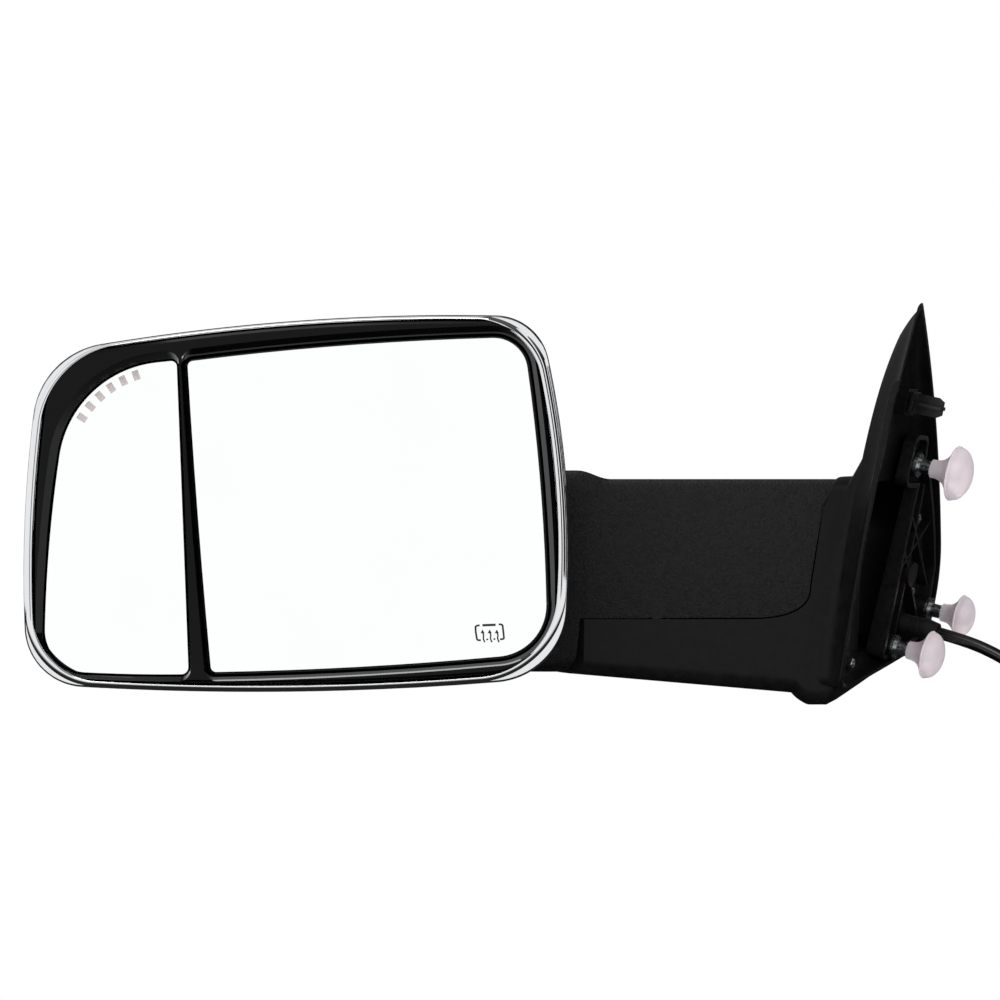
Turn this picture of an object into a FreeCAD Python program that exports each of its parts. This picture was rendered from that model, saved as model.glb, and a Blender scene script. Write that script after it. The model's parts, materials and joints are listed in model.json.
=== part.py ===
import FreeCAD, Part
import Sketcher
import math
import os

# Left-hand car side mirror for towing: a landscape head that flips up at the end of an arm, the
# arm folding rearward on a base that bolts to the door.
#
# Frame, in millimetres: +X points inboard, towards the door, +Y points forward along the car and
# +Z points up. The glass faces the rear, -Y. The origin is the middle of the three door studs, on
# the door face. The door face leans and turns, so what sits on it is drawn in a door frame whose
# x runs forward along the door, y runs up the door and z points into the car.

doc = FreeCAD.newDocument("side_mirror")

SIZES = {
    # Door face.
    "door_turn": 24.0,
    "door_lean": 13.0,
    # Head: its middle, its size and where the corners of its outline stand inside that size.
    "head_middle_x": -398.7,
    "head_middle_z": 46.4,
    "head_front_y": -129.0,
    "head_width": 344.0,
    "head_height": 237.0,
    "head_depth": 56.0,
    "outboard_top_in": 11.7,
    "outboard_top_drop": 24.6,
    "inboard_top_in": 20.2,
    "inboard_top_drop": 0.7,
    "inboard_low_in": 5.7,
    "inboard_low_rise": 10.1,
    "outboard_low_in": 2.8,
    "outboard_low_rise": 5.7,
    "outboard_bow": 6.5,
    "top_bow": 9.0,
    "inboard_bow": 11.2,
    "bottom_bow": 7.4,
    "outboard_top_round": 51.0,
    "inboard_top_round": 34.0,
    "inboard_low_round": 48.0,
    "outboard_low_round": 38.0,
    # Chrome cap.
    "cap_wall": 2.4,
    "bulge_depth": 66.0,
    "bulge_side_gap": 65.0,
    "window_top": 58.0,
    # Bezel: chrome rim left outside it, its depth and how it funnels to the glasses.
    "rim_outboard": 6.0,
    "rim_top": 2.2,
    "rim_inboard": 7.0,
    "rim_bottom": 4.0,
    "rim_gap": 0.3,
    "bezel_depth": 14.0,
    "bezel_wall": 2.2,
    "glass_recess": 8.0,
    "glass_gap": 1.5,
    "funnel_flare": 5.0,
    # Glasses: where their corners stand inside the corners of the head, and the divider.
    "outboard_top_glass_in": 19.2,
    "outboard_top_glass_drop": 13.3,
    "inboard_top_glass_in": 8.2,
    "inboard_top_glass_drop": 11.3,
    "inboard_low_glass_in": 7.5,
    "inboard_low_glass_rise": 13.9,
    "outboard_low_glass_in": 9.8,
    "outboard_low_glass_rise": 8.2,
    "divider_top_x": -73.4,
    "divider_low_x": -62.0,
    "divider_top_width": 5.6,
    "divider_low_width": 13.2,
    "glass_thickness": 2.2,
    "glass_bevel": 1.5,
    "heater_thickness": 0.8,
    "backing_thickness": 3.0,
    "backing_inset": 1.5,
    "spotter_radius": 900.0,
    # Tilting rings behind the glasses.
    "main_pivot_back": 9.0,
    "spotter_pivot_back": 12.0,
    "main_ring_radius": 20.0,
    "spotter_ring_radius": 13.0,
    "ring_wall": 3.0,
    "ring_height": 3.0,
    "ring_pin_radius": 1.5,
    "ring_pin_length": 4.2,
    "pin_clearance": 0.06,
    "ear_gap": 0.8,
    "ear_width": 8.0,
    "ear_thickness": 3.0,
    "tilt_room": 2.6,
    "drive_radius": 36.0,
    "plate_thickness": 4.0,
    # Arm, fold pivot and flip pivot.
    "fold_x": -175.2,
    "fold_y": -25.0,
    "arm_depth": 92.0,
    "arm_top": 62.3,
    "arm_low": -61.6,
    "arm_bottom_gap": 0.5,
    "arm_end_gap": 1.4,
    "flip_gap": 2.0,
    "hub_radius": 54.0,
    "flip_x": -306.0,
    "flip_z": 10.5,
    "seam": -27.4,
    "shelf_radius": 62.3,
    "shelf_low": -61.5,
    "shelf_slope": 0.083,
    "end_low_radius": 113.5,
    "end_top_radius": 134.0,
    "post_radius": 11.0,
    "post_bore": 7.0,
    "post_height": 64.0,
    "post_seat": 20.0,
    "flip_post_seat": 29.0,
    "flip_post_length": 59.0,
    "running_clearance": 0.06,
    "bushing_wall": 5.0,
    "fold_bushing_length": 30.0,
    "spring_chamber": 24.0,
    "boss_length": 14.0,
    "spring_radius": 19.0,
    "spring_bore": 11.4,
    "spring_pitch": 2.6,
    "spring_thickness": 1.4,
    "nut_radius": 17.0,
    "nut_height": 7.0,
    "thrust_inner": 26.0,
    "thrust_outer": 38.0,
    "thrust_height": 3.0,
    "seat_gap": 0.3,
    # Base.
    "trunk_low": -82.0,
    "base_wall": 3.6,
    "sail_depth": 17.0,
    "sail_top_thinning": 0.036,
    "bracket_wall": 3.0,
    "floor_thickness": 2.5,
    "rib_thickness": 2.0,
    "bracket_sink": 0.8,
    "boss_radius": 8.0,
    # Studs and their caps.
    "stud_radius": 4.5,
    "stud_length": 25.0,
    "stud_chamfer": 0.8,
    "flange_radius": 7.8,
    "flange_thickness": 2.0,
    "cap_radius": 18.0,
    "cap_sleeve": 6.2,
    "cap_start": 12.0,
    "cap_height": 21.0,
    "cap_rim_up": 13.0,
    "cap_rim": 1.6,
    # Cable.
    "cable_diameter": 8.0,
    "boot_radius": 7.0,
    "boot_length": 34.0,
    "connector_length": 34.0,
    "connector_width": 26.0,
    "connector_thickness": 14.0,
    "connector_wall": 1.6,
    "terminal_radius": 0.8,
    "latch_width": 8.0,
    "screw_head_radius": 3.6,
    "screw_head_height": 2.2,
    "pin_span": 13.0,
    "pin_fin": 2.2,
    "pin_length": 21.0,
    "pin_boss": 17.0,
    "pin_boss_drop": 2.0,
    "lamp_side": 4.4,
    "lamp_inset": 5.2,
    "lamp_first_turn": 148.0,
    "lamp_step": 7.9,
    "board_thickness": 1.0,
    "ledge_radius": 5.5,
}

sheet = doc.addObject("Spreadsheet::Sheet", "sizes")
for row, (name, value) in enumerate(SIZES.items(), start=1):
    sheet.set("A%d" % row, name)
    sheet.set("B%d" % row, str(value))
    sheet.setAlias("B%d" % row, name)
doc.recompute()

nodes = []


def size(name):
    """One driving dimension, read from the sheet."""
    return float(sheet.get(name))


def vec(x, y, z):
    return FreeCAD.Vector(x, y, z)


# ---------------------------------------------------------------------------------------------
# Places worked out from the driving dimensions.

TURN = math.radians(size("door_turn"))
LEAN = math.radians(size("door_lean"))
door_into_car = vec(1.0, -math.tan(TURN), -math.tan(LEAN)).normalize()
door_forward = vec(math.sin(TURN), math.cos(TURN), 0.0)
door_up = door_into_car.cross(door_forward)
DOOR = FreeCAD.Placement(vec(0, 0, 0), FreeCAD.Rotation(door_forward, door_up, door_into_car, "ZXY"))

HEAD_X = size("head_middle_x")
HEAD_Z = size("head_middle_z")
FRONT = size("head_front_y")
HEAD_BACK = FRONT + size("head_depth")
GLASS_FRONT = FRONT + size("glass_recess")
ARM_REAR = HEAD_BACK + size("flip_gap")
ARM_FORWARD = ARM_REAR + size("arm_depth")
FOLD = vec(size("fold_x"), size("fold_y"), 0)
FLIP = vec(size("flip_x"), ARM_REAR, size("flip_z"))
SEAM = size("seam")


# ---------------------------------------------------------------------------------------------
# Outlines: bowed sides that meet in round corners, all arcs. A side is the circle through its two
# corners that stands out by its bow, so an inset keeps the circle's centre and shrinks its radius.

def side_circle(start, end, bow):
    """Centre and radius of the arc from start to end, both (a, b), that bows outwards."""
    chord = math.hypot(end[0] - start[0], end[1] - start[1])
    radius = (chord * chord / 4 + bow * bow) / (2 * bow)
    inward = (-(end[1] - start[1]) / chord, (end[0] - start[0]) / chord)
    middle = ((start[0] + end[0]) / 2, (start[1] + end[1]) / 2)
    reach = radius - bow
    return (middle[0] + inward[0] * reach, middle[1] + inward[1] * reach), radius


def meeting(centre_a, radius_a, centre_b, radius_b, near):
    """The crossing of two circles that lies nearest to a point."""
    dx = centre_b[0] - centre_a[0]
    dy = centre_b[1] - centre_a[1]
    apart = math.hypot(dx, dy)
    along = (radius_a ** 2 - radius_b ** 2 + apart ** 2) / (2 * apart)
    across = math.sqrt(max(radius_a ** 2 - along ** 2, 0.0))
    foot = (centre_a[0] + dx * along / apart, centre_a[1] + dy * along / apart)
    first = (foot[0] - dy * across / apart, foot[1] + dx * across / apart)
    second = (foot[0] + dy * across / apart, foot[1] - dx * across / apart)
    return min((first, second), key=lambda p: math.hypot(p[0] - near[0], p[1] - near[1]))


def towards(centre, point, radius):
    """The point at a radius from the centre, in the direction of another point."""
    length = math.hypot(point[0] - centre[0], point[1] - centre[1])
    return (centre[0] + (point[0] - centre[0]) * radius / length,
            centre[1] + (point[1] - centre[1]) * radius / length)


def bowed_loop(corners, bows, rounds, insets, place):
    """Closed wire through the corners, taken anticlockwise.

    bows[i] and insets[i] belong to the side from corner i to the next, rounds[i] to corner i.
    place turns a flat (a, b) into a vector.
    """
    count = len(corners)
    sides = [side_circle(corners[i], corners[(i + 1) % count], bows[i]) for i in range(count)]
    sides = [(centre, radius - insets[i]) for i, (centre, radius) in enumerate(sides)]
    leaves = []
    arrives = []
    fillets = []
    for i in range(count):
        before, before_radius = sides[i - 1]
        after, after_radius = sides[i]
        corner_round = rounds[i]
        hub = meeting(before, before_radius - corner_round, after, after_radius - corner_round, corners[i])
        arrive = towards(before, hub, before_radius)
        leave = towards(after, hub, after_radius)
        halfway = towards(hub, ((arrive[0] + leave[0]) / 2, (arrive[1] + leave[1]) / 2), corner_round)
        arrives.append(arrive)
        leaves.append(leave)
        fillets.append(halfway)
    edges = []
    for i in range(count):
        following = (i + 1) % count
        centre, radius = sides[i]
        start = leaves[i]
        end = arrives[following]
        halfway = towards(centre, ((start[0] + end[0]) / 2, (start[1] + end[1]) / 2), radius)
        edges.append(Part.Arc(place(start), place(halfway), place(end)).toShape())
        edges.append(Part.Arc(place(end), place(fillets[following]), place(leaves[following])).toShape())
    return Part.Wire(edges)


def head_plane(depth):
    """Flat (a, b) about the head's middle to a point in the upright plane at this Y."""
    return lambda p: vec(HEAD_X + p[0], depth, HEAD_Z + p[1])


def head_corners():
    """Corners of the head's outline, anticlockwise as seen from behind the car."""
    half_width = size("head_width") / 2
    half_height = size("head_height") / 2
    return [
        (-half_width + size("outboard_low_in"), -half_height + size("outboard_low_rise")),
        (half_width - size("inboard_low_in"), -half_height + size("inboard_low_rise")),
        (half_width - size("inboard_top_in"), half_height - size("inboard_top_drop")),
        (-half_width + size("outboard_top_in"), half_height - size("outboard_top_drop")),
    ]


HEAD_CORNERS = head_corners()
HEAD_BOWS = [size("bottom_bow"), size("inboard_bow"), size("top_bow"), size("outboard_bow")]
HEAD_ROUNDS = [size("outboard_low_round"), size("inboard_low_round"),
               size("inboard_top_round"), size("outboard_top_round")]


def head_loop(depth, insets):
    """The head's outline at this Y, drawn in by insets for bottom, inboard, top and outboard."""
    rounds = [max(HEAD_ROUNDS[i] - (insets[i] + insets[i - 1]) / 2, 12.0) for i in range(4)]
    return bowed_loop(HEAD_CORNERS, HEAD_BOWS, rounds, insets, head_plane(depth))


def even(inset):
    return [inset, inset, inset, inset]


def head_loft(stations):
    """Solid through outlines given as (Y, inset)."""
    return Part.makeLoft([head_loop(depth, even(inset)) for depth, inset in stations], True, False)


def slab(low, high):
    """Box between two corners."""
    return Part.makeBox(high.x - low.x, high.y - low.y, high.z - low.z, low)


def rod(start, direction, radius, length):
    return Part.makeCylinder(radius, length, start, direction)


def tube(start, direction, outer, inner, length):
    return rod(start, direction, outer, length).cut(rod(start, direction, inner, length))


def add_node(label, shape):
    """A sub-part whose form fits none of the parametric features."""
    feature = doc.addObject("Part::Feature", label)
    feature.Shape = shape.removeSplitter()
    feature.Label = label
    nodes.append(feature)
    return feature


# ---------------------------------------------------------------------------------------------
# Turned sub-parts: a body whose sketch is bound to the sheet, turned about its own Z.

def origin_plane(body, role):
    return [f for f in body.Origin.OriginFeatures if f.Role == role][0]


def bind_point(sketch, line, end, axis, expression):
    """Ties one coordinate of a line's end to the sheet; 0 ties it to the axis itself."""
    if expression == "0":
        own_axis = -2 if axis == "X" else -1
        sketch.addConstraint(Sketcher.Constraint("PointOnObject", line, end, own_axis))
        return
    value = sketch.evalExpression(expression)
    value = getattr(value, "Value", value)
    index = sketch.addConstraint(Sketcher.Constraint("Distance" + axis, -1, 1, line, end, value))
    sketch.setExpression("Constraints[%d]" % index, expression)


def turned(label, profile, placement):
    """Body turned from a closed profile of (radius, height) expressions."""
    body = doc.addObject("PartDesign::Body", label)
    body.Label = label
    sketch = body.newObject("Sketcher::SketchObject", label + "_profile")
    sketch.AttachmentSupport = [(origin_plane(body, "XZ_Plane"), "")]
    sketch.MapMode = "FlatFace"
    points = []
    for across, up in profile:
        radius = sketch.evalExpression(across)
        height = sketch.evalExpression(up)
        points.append(vec(float(getattr(radius, "Value", radius)), float(getattr(height, "Value", height)), 0))
    count = len(points)
    for i in range(count):
        sketch.addGeometry(Part.LineSegment(points[i], points[(i + 1) % count]), False)
    for i in range(count):
        sketch.addConstraint(Sketcher.Constraint("Coincident", i, 2, (i + 1) % count, 1))
    for i, (across, up) in enumerate(profile):
        bind_point(sketch, i, 1, "X", across)
        bind_point(sketch, i, 1, "Y", up)
    turn = body.newObject("PartDesign::Revolution", label + "_turn")
    turn.Profile = sketch
    turn.ReferenceAxis = (sketch, ["V_Axis"])
    turn.Angle = 360
    body.Placement = placement
    nodes.append(body)
    return body


def ring_profile(inner, outer, low, high):
    return [(inner, low), (outer, low), (outer, high), (inner, high)]


def facing(position, direction):
    """Placement that stands a turned body's Z along a direction."""
    return FreeCAD.Placement(position, FreeCAD.Rotation(vec(0, 0, 1), direction))


def primitive(kind, label, bindings):
    """A parametric primitive with its properties tied to the sheet."""
    feature = doc.addObject(kind, label)
    for name, expression in bindings.items():
        feature.setExpression(name, expression)
    return feature


def bound_cut(label, base, tool, placement):
    """Node made by cutting one parametric primitive from another."""
    cut = doc.addObject("Part::Cut", label)
    cut.Base = base
    cut.Tool = tool
    cut.Label = label
    cut.Placement = placement
    nodes.append(cut)
    return cut


def make_nut(label, position, direction):
    """Hexagon nut bored to sit on its post."""
    hexagon = primitive("Part::Prism", label + "_hexagon", {
        "Circumradius": "sizes.nut_radius", "Height": "sizes.nut_height"})
    bore = primitive("Part::Cylinder", label + "_bore", {
        "Radius": "sizes.post_radius + sizes.running_clearance", "Height": "sizes.nut_height * 3",
        "Placement.Base.z": "-sizes.nut_height"})
    return bound_cut(label, hexagon, bore, facing(position, direction))


def make_discs(label, count, position, direction):
    """Stack of disc springs, coned one way and the other in turn."""
    inner = size("spring_bore")
    outer = size("spring_radius")
    thickness = size("spring_thickness")
    rise = size("spring_pitch") - thickness - size("seat_gap")
    discs = []
    for i in range(count):
        low = i * size("spring_pitch")
        at_bore = low + rise * (i % 2)
        at_rim = low + rise * (1 - i % 2)
        section = [vec(inner, 0, at_bore), vec(outer, 0, at_rim), vec(outer, 0, at_rim + thickness),
                   vec(inner, 0, at_bore + thickness), vec(inner, 0, at_bore)]
        discs.append(Part.Face(Part.makePolygon(section)).revolve(vec(0, 0, 0), vec(0, 0, 1), 360))
    stack = Part.makeCompound(discs)
    stack.Placement = facing(position, direction)
    return add_node(label, stack)


def cross_screw(radius, height, shank, length):
    """Pan-head screw on its own Z: head above the origin, shank below, a cross cut in the head."""
    head = rod(vec(0, 0, 0), vec(0, 0, 1), radius, height)
    head = head.makeFillet(height * 0.45, [head.Edges[i] for i in range(len(head.Edges))
                                           if head.Edges[i].Closed and head.Edges[i].BoundBox.ZMin > height * 0.9])
    blade = radius * 0.28
    reach = radius * 0.6
    cross = slab(vec(-reach, -blade / 2, height * 0.45), vec(reach, blade / 2, height * 2))
    cross = cross.fuse(slab(vec(-blade / 2, -reach, height * 0.45), vec(blade / 2, reach, height * 2)))
    return head.cut(cross).fuse(rod(vec(0, 0, -length), vec(0, 0, 1), shank, length))


# ---------------------------------------------------------------------------------------------
# Head.

def bulge_corners():
    """Corners of the cap's deep part, which stops short of the arm's hub."""
    corners = head_corners()
    inner = FLIP.x - size("bulge_side_gap") - HEAD_X
    share_low = (inner - corners[0][0]) / (corners[1][0] - corners[0][0])
    share_top = (inner - corners[3][0]) / (corners[2][0] - corners[3][0])
    low = corners[0][1] + share_low * (corners[1][1] - corners[0][1]) - size("bottom_bow") * 0.9
    top = corners[3][1] + share_top * (corners[2][1] - corners[3][1]) + size("top_bow") * 0.9
    return [corners[0], (inner - 8.0, low), (inner - 8.0, top), corners[3]]


BULGE_CORNERS = bulge_corners()


def bulge_loop(depth, inset, side_inset):
    """The deep part's outline at this Y."""
    rounds = [max(38.0 - inset, 26.0), max(30.0, 30.0 + side_inset * 0.4),
              max(30.0, 30.0 + side_inset * 0.4), max(51.0 - inset, 30.0)]
    bows = [3.5, 8.0, 3.5, size("outboard_bow")]
    insets = [inset, side_inset, inset, inset]
    return bowed_loop(BULGE_CORNERS, bows, rounds, insets, head_plane(depth))


def shallow_stations(wall):
    """(Y, inset) stations of the cap's shallow body, from the rim to its flat back."""
    return [
        (FRONT + 2.0, 1.2 + wall),
        (FRONT + 6.0, 0.0 + wall),
        (FRONT + 20.0, 0.4 + wall),
        (FRONT + 34.0, 2.4 + wall),
        (FRONT + 45.0, 7.5 + wall),
        (FRONT + 52.0, 15.0 + wall),
        (HEAD_BACK - wall, 24.0 + wall),
    ]


def bulge_solid(wall):
    """Deep part: a quarter-ellipse flank from the shallow body to its rounded back."""
    start = FRONT + 16.0
    shoulder = FRONT + 52.0
    deep = size("bulge_depth") + 6.0 - wall
    stations = [(start, 5.0 + wall, wall), (FRONT + 34.0, 3.4 + wall, wall), (shoulder, 6.0 + wall, 2.0 + wall)]
    for angle in (22.0, 42.0, 60.0, 75.0):
        turn = math.radians(angle)
        draw_in = 64.0 * (1.0 - math.cos(turn))
        side_in = 40.0 * (1.0 - math.cos(turn))
        stations.append((shoulder + deep * math.sin(turn), 6.0 + wall + draw_in, 2.0 + wall + side_in))
    return Part.makeLoft([bulge_loop(y, inset, side) for y, inset, side in stations], True, False)


def hub_window(clearance):
    """Space inboard of the deep part and below the chrome's top band, where the black housing shows."""
    left = FLIP.x - size("bulge_side_gap") + 2.0 + clearance
    top = FLIP.z + size("window_top") - clearance
    return slab(vec(left, FRONT + 9.0 + clearance, -200), vec(-150, 60, top))


def make_cap():
    outer = Part.makeLoft([head_loop(y, even(i)) for y, i in shallow_stations(0.0)], True, False)
    outer = outer.fuse(bulge_solid(0.0))
    wall = size("cap_wall")
    inner = Part.makeLoft([head_loop(y, even(i)) for y, i in shallow_stations(wall)[1:]], True, False)
    inner = inner.fuse(bulge_solid(wall))
    cap = outer.cut(inner)
    opening = Part.Face(head_loop(FRONT - 5.0, bezel_insets(0.0))).extrude(vec(0, 12.0, 0))
    cap = cap.cut(opening)
    cap = cap.cut(hub_window(0.0))
    return add_node("chrome_cap", cap)


def bezel_insets(clearance):
    return [size("rim_bottom") + clearance, size("rim_inboard") + clearance,
            size("rim_top") + clearance, size("rim_outboard") + clearance]


def glass_corners():
    """Corners of the spotter and of the main glass, anticlockwise from the lower outboard one."""
    low_out, low_in, top_in, top_out = HEAD_CORNERS
    top_half = size("divider_top_width") / 2
    low_half = size("divider_low_width") / 2
    spot_low_out = (low_out[0] + size("outboard_low_glass_in"), low_out[1] + size("outboard_low_glass_rise"))
    spot_top_out = (top_out[0] + size("outboard_top_glass_in"), top_out[1] - size("outboard_top_glass_drop"))
    main_low_in = (low_in[0] - size("inboard_low_glass_in"), low_in[1] + size("inboard_low_glass_rise"))
    main_top_in = (top_in[0] - size("inboard_top_glass_in"), top_in[1] - size("inboard_top_glass_drop"))
    low_edge = spot_low_out[1] - 2.8
    top_edge = spot_top_out[1] + 10.4
    spotter = [spot_low_out, (size("divider_low_x") - low_half, low_edge),
               (size("divider_top_x") - top_half, top_edge - 0.5), spot_top_out]
    main = [(size("divider_low_x") + low_half, low_edge), main_low_in, main_top_in,
            (size("divider_top_x") + top_half, top_edge)]
    return spotter, main


SPOTTER_CORNERS, MAIN_CORNERS = glass_corners()
SPOTTER_BOWS = [1.0, 0.4, 1.0, 4.5]
MAIN_BOWS = [2.4, 4.1, 3.0, 0.9]
SPOTTER_ROUNDS = [26.6, 4.5, 3.5, 69.0]
MAIN_ROUNDS = [5.0, 34.0, 23.0, 5.0]


def glass_loop(corners, bows, rounds, insets, depth):
    """A glass outline at this Y; a negative inset makes it larger."""
    grown = [max(rounds[i] - (insets[i] + insets[i - 1]) / 2, 1.0) for i in range(4)]
    return bowed_loop(corners, bows, grown, insets, head_plane(depth))


def spotter_loop(inset, depth):
    return glass_loop(SPOTTER_CORNERS, SPOTTER_BOWS, SPOTTER_ROUNDS, even(inset), depth)


def main_loop(inset, depth):
    return glass_loop(MAIN_CORNERS, MAIN_BOWS, MAIN_ROUNDS, even(inset), depth)


def funnel(corners, bows, rounds, flares):
    """Opening that narrows from the bezel's front to the glass and runs straight on behind it."""
    gap = -size("glass_gap")
    wide = [gap - flare for flare in flares]
    front = glass_loop(corners, bows, rounds, wide, FRONT - 1.0)
    throat = glass_loop(corners, bows, rounds, even(gap), GLASS_FRONT - 0.5)
    mouth = Part.makeLoft([front, throat], True, True)
    straight = Part.Face(throat).extrude(vec(0, size("bezel_depth") + 5.0, 0))
    return mouth.fuse(straight)


def make_bezel():
    flare = size("funnel_flare")
    rim = size("rim_gap")
    back = FRONT + size("bezel_depth")
    outside = [
        head_loop(FRONT, [i + 3.0 for i in bezel_insets(rim)]),
        head_loop(FRONT + 0.8, [i + 1.4 for i in bezel_insets(rim)]),
        head_loop(FRONT + 3.0, bezel_insets(rim)),
    ]
    shell = Part.makeLoft(outside, True, True)
    shell = shell.fuse(Part.Face(head_loop(FRONT + 3.0, bezel_insets(rim))).extrude(vec(0, 3.5, 0)))
    tucked = [max(i, size("cap_wall")) + 3.0 for i in bezel_insets(rim)]
    shell = shell.fuse(Part.Face(head_loop(FRONT + 5.0, tucked)).extrude(vec(0, back - FRONT - 5.0, 0)))
    shell = shell.cut(funnel(MAIN_CORNERS, MAIN_BOWS, MAIN_ROUNDS, [3.0, 3.4, flare, 0.9]))
    shell = shell.cut(funnel(SPOTTER_CORNERS, SPOTTER_BOWS, SPOTTER_ROUNDS, [3.0, 0.9, flare, flare]))
    return add_node("bezel", shell)


def make_head_housing():
    """Black shell behind the bezel: a tub with a flat floor, and the panel round the arm's hub."""
    wall = size("cap_wall")
    gap = 0.3
    stations = [(FRONT + 15.0, 0.6), (FRONT + 20.0, 0.6), (FRONT + 34.0, 2.6), (FRONT + 45.0, 7.7),
                (FRONT + 51.0, 14.5), (HEAD_BACK - wall - gap, 22.0)]
    outside = head_loft([(y, i + wall + gap) for y, i in stations])
    full = Part.makeLoft([head_loop(y, even(i)) for y, i in shallow_stations(0.0)], True, False)
    panel = full.common(hub_window(gap))
    outside = outside.fuse(panel)
    hollow_stations = [(FRONT + 5.0, 3.6), (FRONT + 20.0, 3.6), (FRONT + 34.0, 5.6), (FRONT + 44.0, 10.5),
                       (FRONT + 49.0, 16.5), (HEAD_BACK - wall - gap - 3.0, 24.0)]
    inside = head_loft([(y, i + wall + gap) for y, i in hollow_stations])
    housing = outside.cut(inside)
    socket_radius = size("post_radius") + size("running_clearance") + size("bushing_wall")
    length = size("boss_length")
    boss = rod(vec(FLIP.x, HEAD_BACK - length, FLIP.z), vec(0, 1, 0), socket_radius + 4.0, length - 0.1)
    bore = rod(vec(FLIP.x, HEAD_BACK - 30.0, FLIP.z), vec(0, 1, 0), socket_radius, 60.0)
    housing = housing.fuse(boss).cut(bore)
    return add_node("head_housing", housing)


def make_main_glass():
    thickness = size("glass_thickness")
    bevel = size("glass_bevel")
    front = Part.makeLoft([main_loop(bevel, GLASS_FRONT), main_loop(0.0, GLASS_FRONT + bevel * 0.6)], True, True)
    body = Part.Face(main_loop(0.0, GLASS_FRONT + bevel * 0.6)).extrude(vec(0, thickness - bevel * 0.6, 0))
    return add_node("main_glass", front.fuse(body))


def make_heater_pad():
    back = GLASS_FRONT + size("glass_thickness")
    pad = Part.Face(main_loop(size("backing_inset"), back)).extrude(vec(0, size("heater_thickness"), 0))
    return add_node("heater_pad", pad)


def glass_middle(corners):
    """Pivot point behind a glass: the mean of its corners, in X and Z."""
    return (HEAD_X + sum(c[0] for c in corners) / 4, HEAD_Z + sum(c[1] for c in corners) / 4)


MAIN_X, MAIN_Z = glass_middle(MAIN_CORNERS)
SPOT_X, SPOT_Z = glass_middle(SPOTTER_CORNERS)
MAIN_PIVOT = vec(MAIN_X, GLASS_FRONT + size("main_pivot_back"), MAIN_Z)
SPOT_PIVOT = vec(SPOT_X, GLASS_FRONT + size("spotter_pivot_back"), SPOT_Z)


def ear(pivot, direction, radius, front, back):
    """One pivot ear beside the ring: a block across the pin with the pin's running hole."""
    span = vec(abs(direction.z), 0, abs(direction.x)) * (size("ear_width") / 2)
    near = pivot + direction * (radius + size("ear_gap"))
    far = near + direction * size("ear_thickness")
    corners = [near - span, near + span, far - span, far + span]
    low = vec(min(c.x for c in corners), front, min(c.z for c in corners))
    high = vec(max(c.x for c in corners), back, max(c.z for c in corners))
    hole = rod(pivot, direction, size("ring_pin_radius") + size("pin_clearance"), radius + size("ear_width"))
    return slab(low, high).cut(hole)


SIDEWAYS = (vec(1, 0, 0), vec(-1, 0, 0))
UPRIGHT = (vec(0, 0, 1), vec(0, 0, -1))


def make_ring(label, pivot, radius):
    """Ring with four pins: the upright pair turns in the drive, the level pair in the backing."""
    height = size("ring_height")
    start = pivot - vec(0, height / 2, 0)
    shape = tube(start, vec(0, 1, 0), radius, radius - size("ring_wall"), height)
    for direction in SIDEWAYS + UPRIGHT:
        root = pivot + direction * (radius - 1.0)
        shape = shape.fuse(rod(root, direction, size("ring_pin_radius"), size("ring_pin_length") + 1.0))
    return add_node(label, shape)


def make_main_backing():
    """Carrier plate behind the heater, opened round the ring, with two ears for its level pins."""
    front = GLASS_FRONT + size("glass_thickness") + size("heater_thickness")
    radius = size("main_ring_radius")
    plate = Part.Face(main_loop(size("backing_inset"), front)).extrude(vec(0, size("backing_thickness"), 0))
    plate = plate.cut(rod(vec(MAIN_X, front - 1.0, MAIN_Z), vec(0, 1, 0), radius + 0.8, 10.0))
    reach = radius + size("ear_gap") + size("ear_thickness") + 4.0
    half = size("ear_width") / 2 + 3.0
    plate = plate.cut(slab(vec(MAIN_X - half, front - 1.0, MAIN_Z - reach), vec(MAIN_X + half, front + 9.0, MAIN_Z + reach)))
    for direction in SIDEWAYS:
        plate = plate.fuse(ear(MAIN_PIVOT, direction, radius, front, MAIN_PIVOT.y + 2.6))
    return add_node("main_backing", plate)


def make_drive():
    """Power drive: a round housing with a flat, two ears for the ring and two jack screws' bosses."""
    radius = size("drive_radius")
    front = MAIN_PIVOT.y + size("ring_height") / 2 + 4.0
    back = HEAD_BACK - size("cap_wall") - 3.3 - size("plate_thickness")
    body = rod(vec(MAIN_X, front, MAIN_Z), vec(0, 1, 0), radius, back - front)
    body = body.makeFillet(3.0, [body.Edges[i] for i in range(len(body.Edges)) if body.Edges[i].Closed and
                                 body.Edges[i].BoundBox.YMin < front + 0.1])
    for direction in UPRIGHT:
        body = body.fuse(ear(MAIN_PIVOT, direction, size("main_ring_radius"), MAIN_PIVOT.y - 2.4, front + 4.0))
    return add_node("drive_unit", body)


def make_jacks():
    """The drive's two jack screws, one for each tilt."""
    front = MAIN_PIVOT.y + size("ring_height") / 2 + 4.0
    radius = size("drive_radius") - 8.0
    screws = []
    for angle in (45.0, 135.0):
        turn = math.radians(angle)
        base = vec(MAIN_X + radius * math.cos(turn), front, MAIN_Z - radius * math.sin(turn))
        stem = rod(base - vec(0, 3.0, 0), vec(0, 1, 0), 2.4, 3.0)
        collar = rod(base - vec(0, 1.2, 0), vec(0, 1, 0), 3.6, 1.2)
        screws.append(stem.fuse(collar))
    return add_node("jack_screws", Part.makeCompound(screws))


DRIVE_SCREW_PLACES = [(0.94, 0.94), (-0.94, 0.94), (-1.03, -0.53)]


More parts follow.
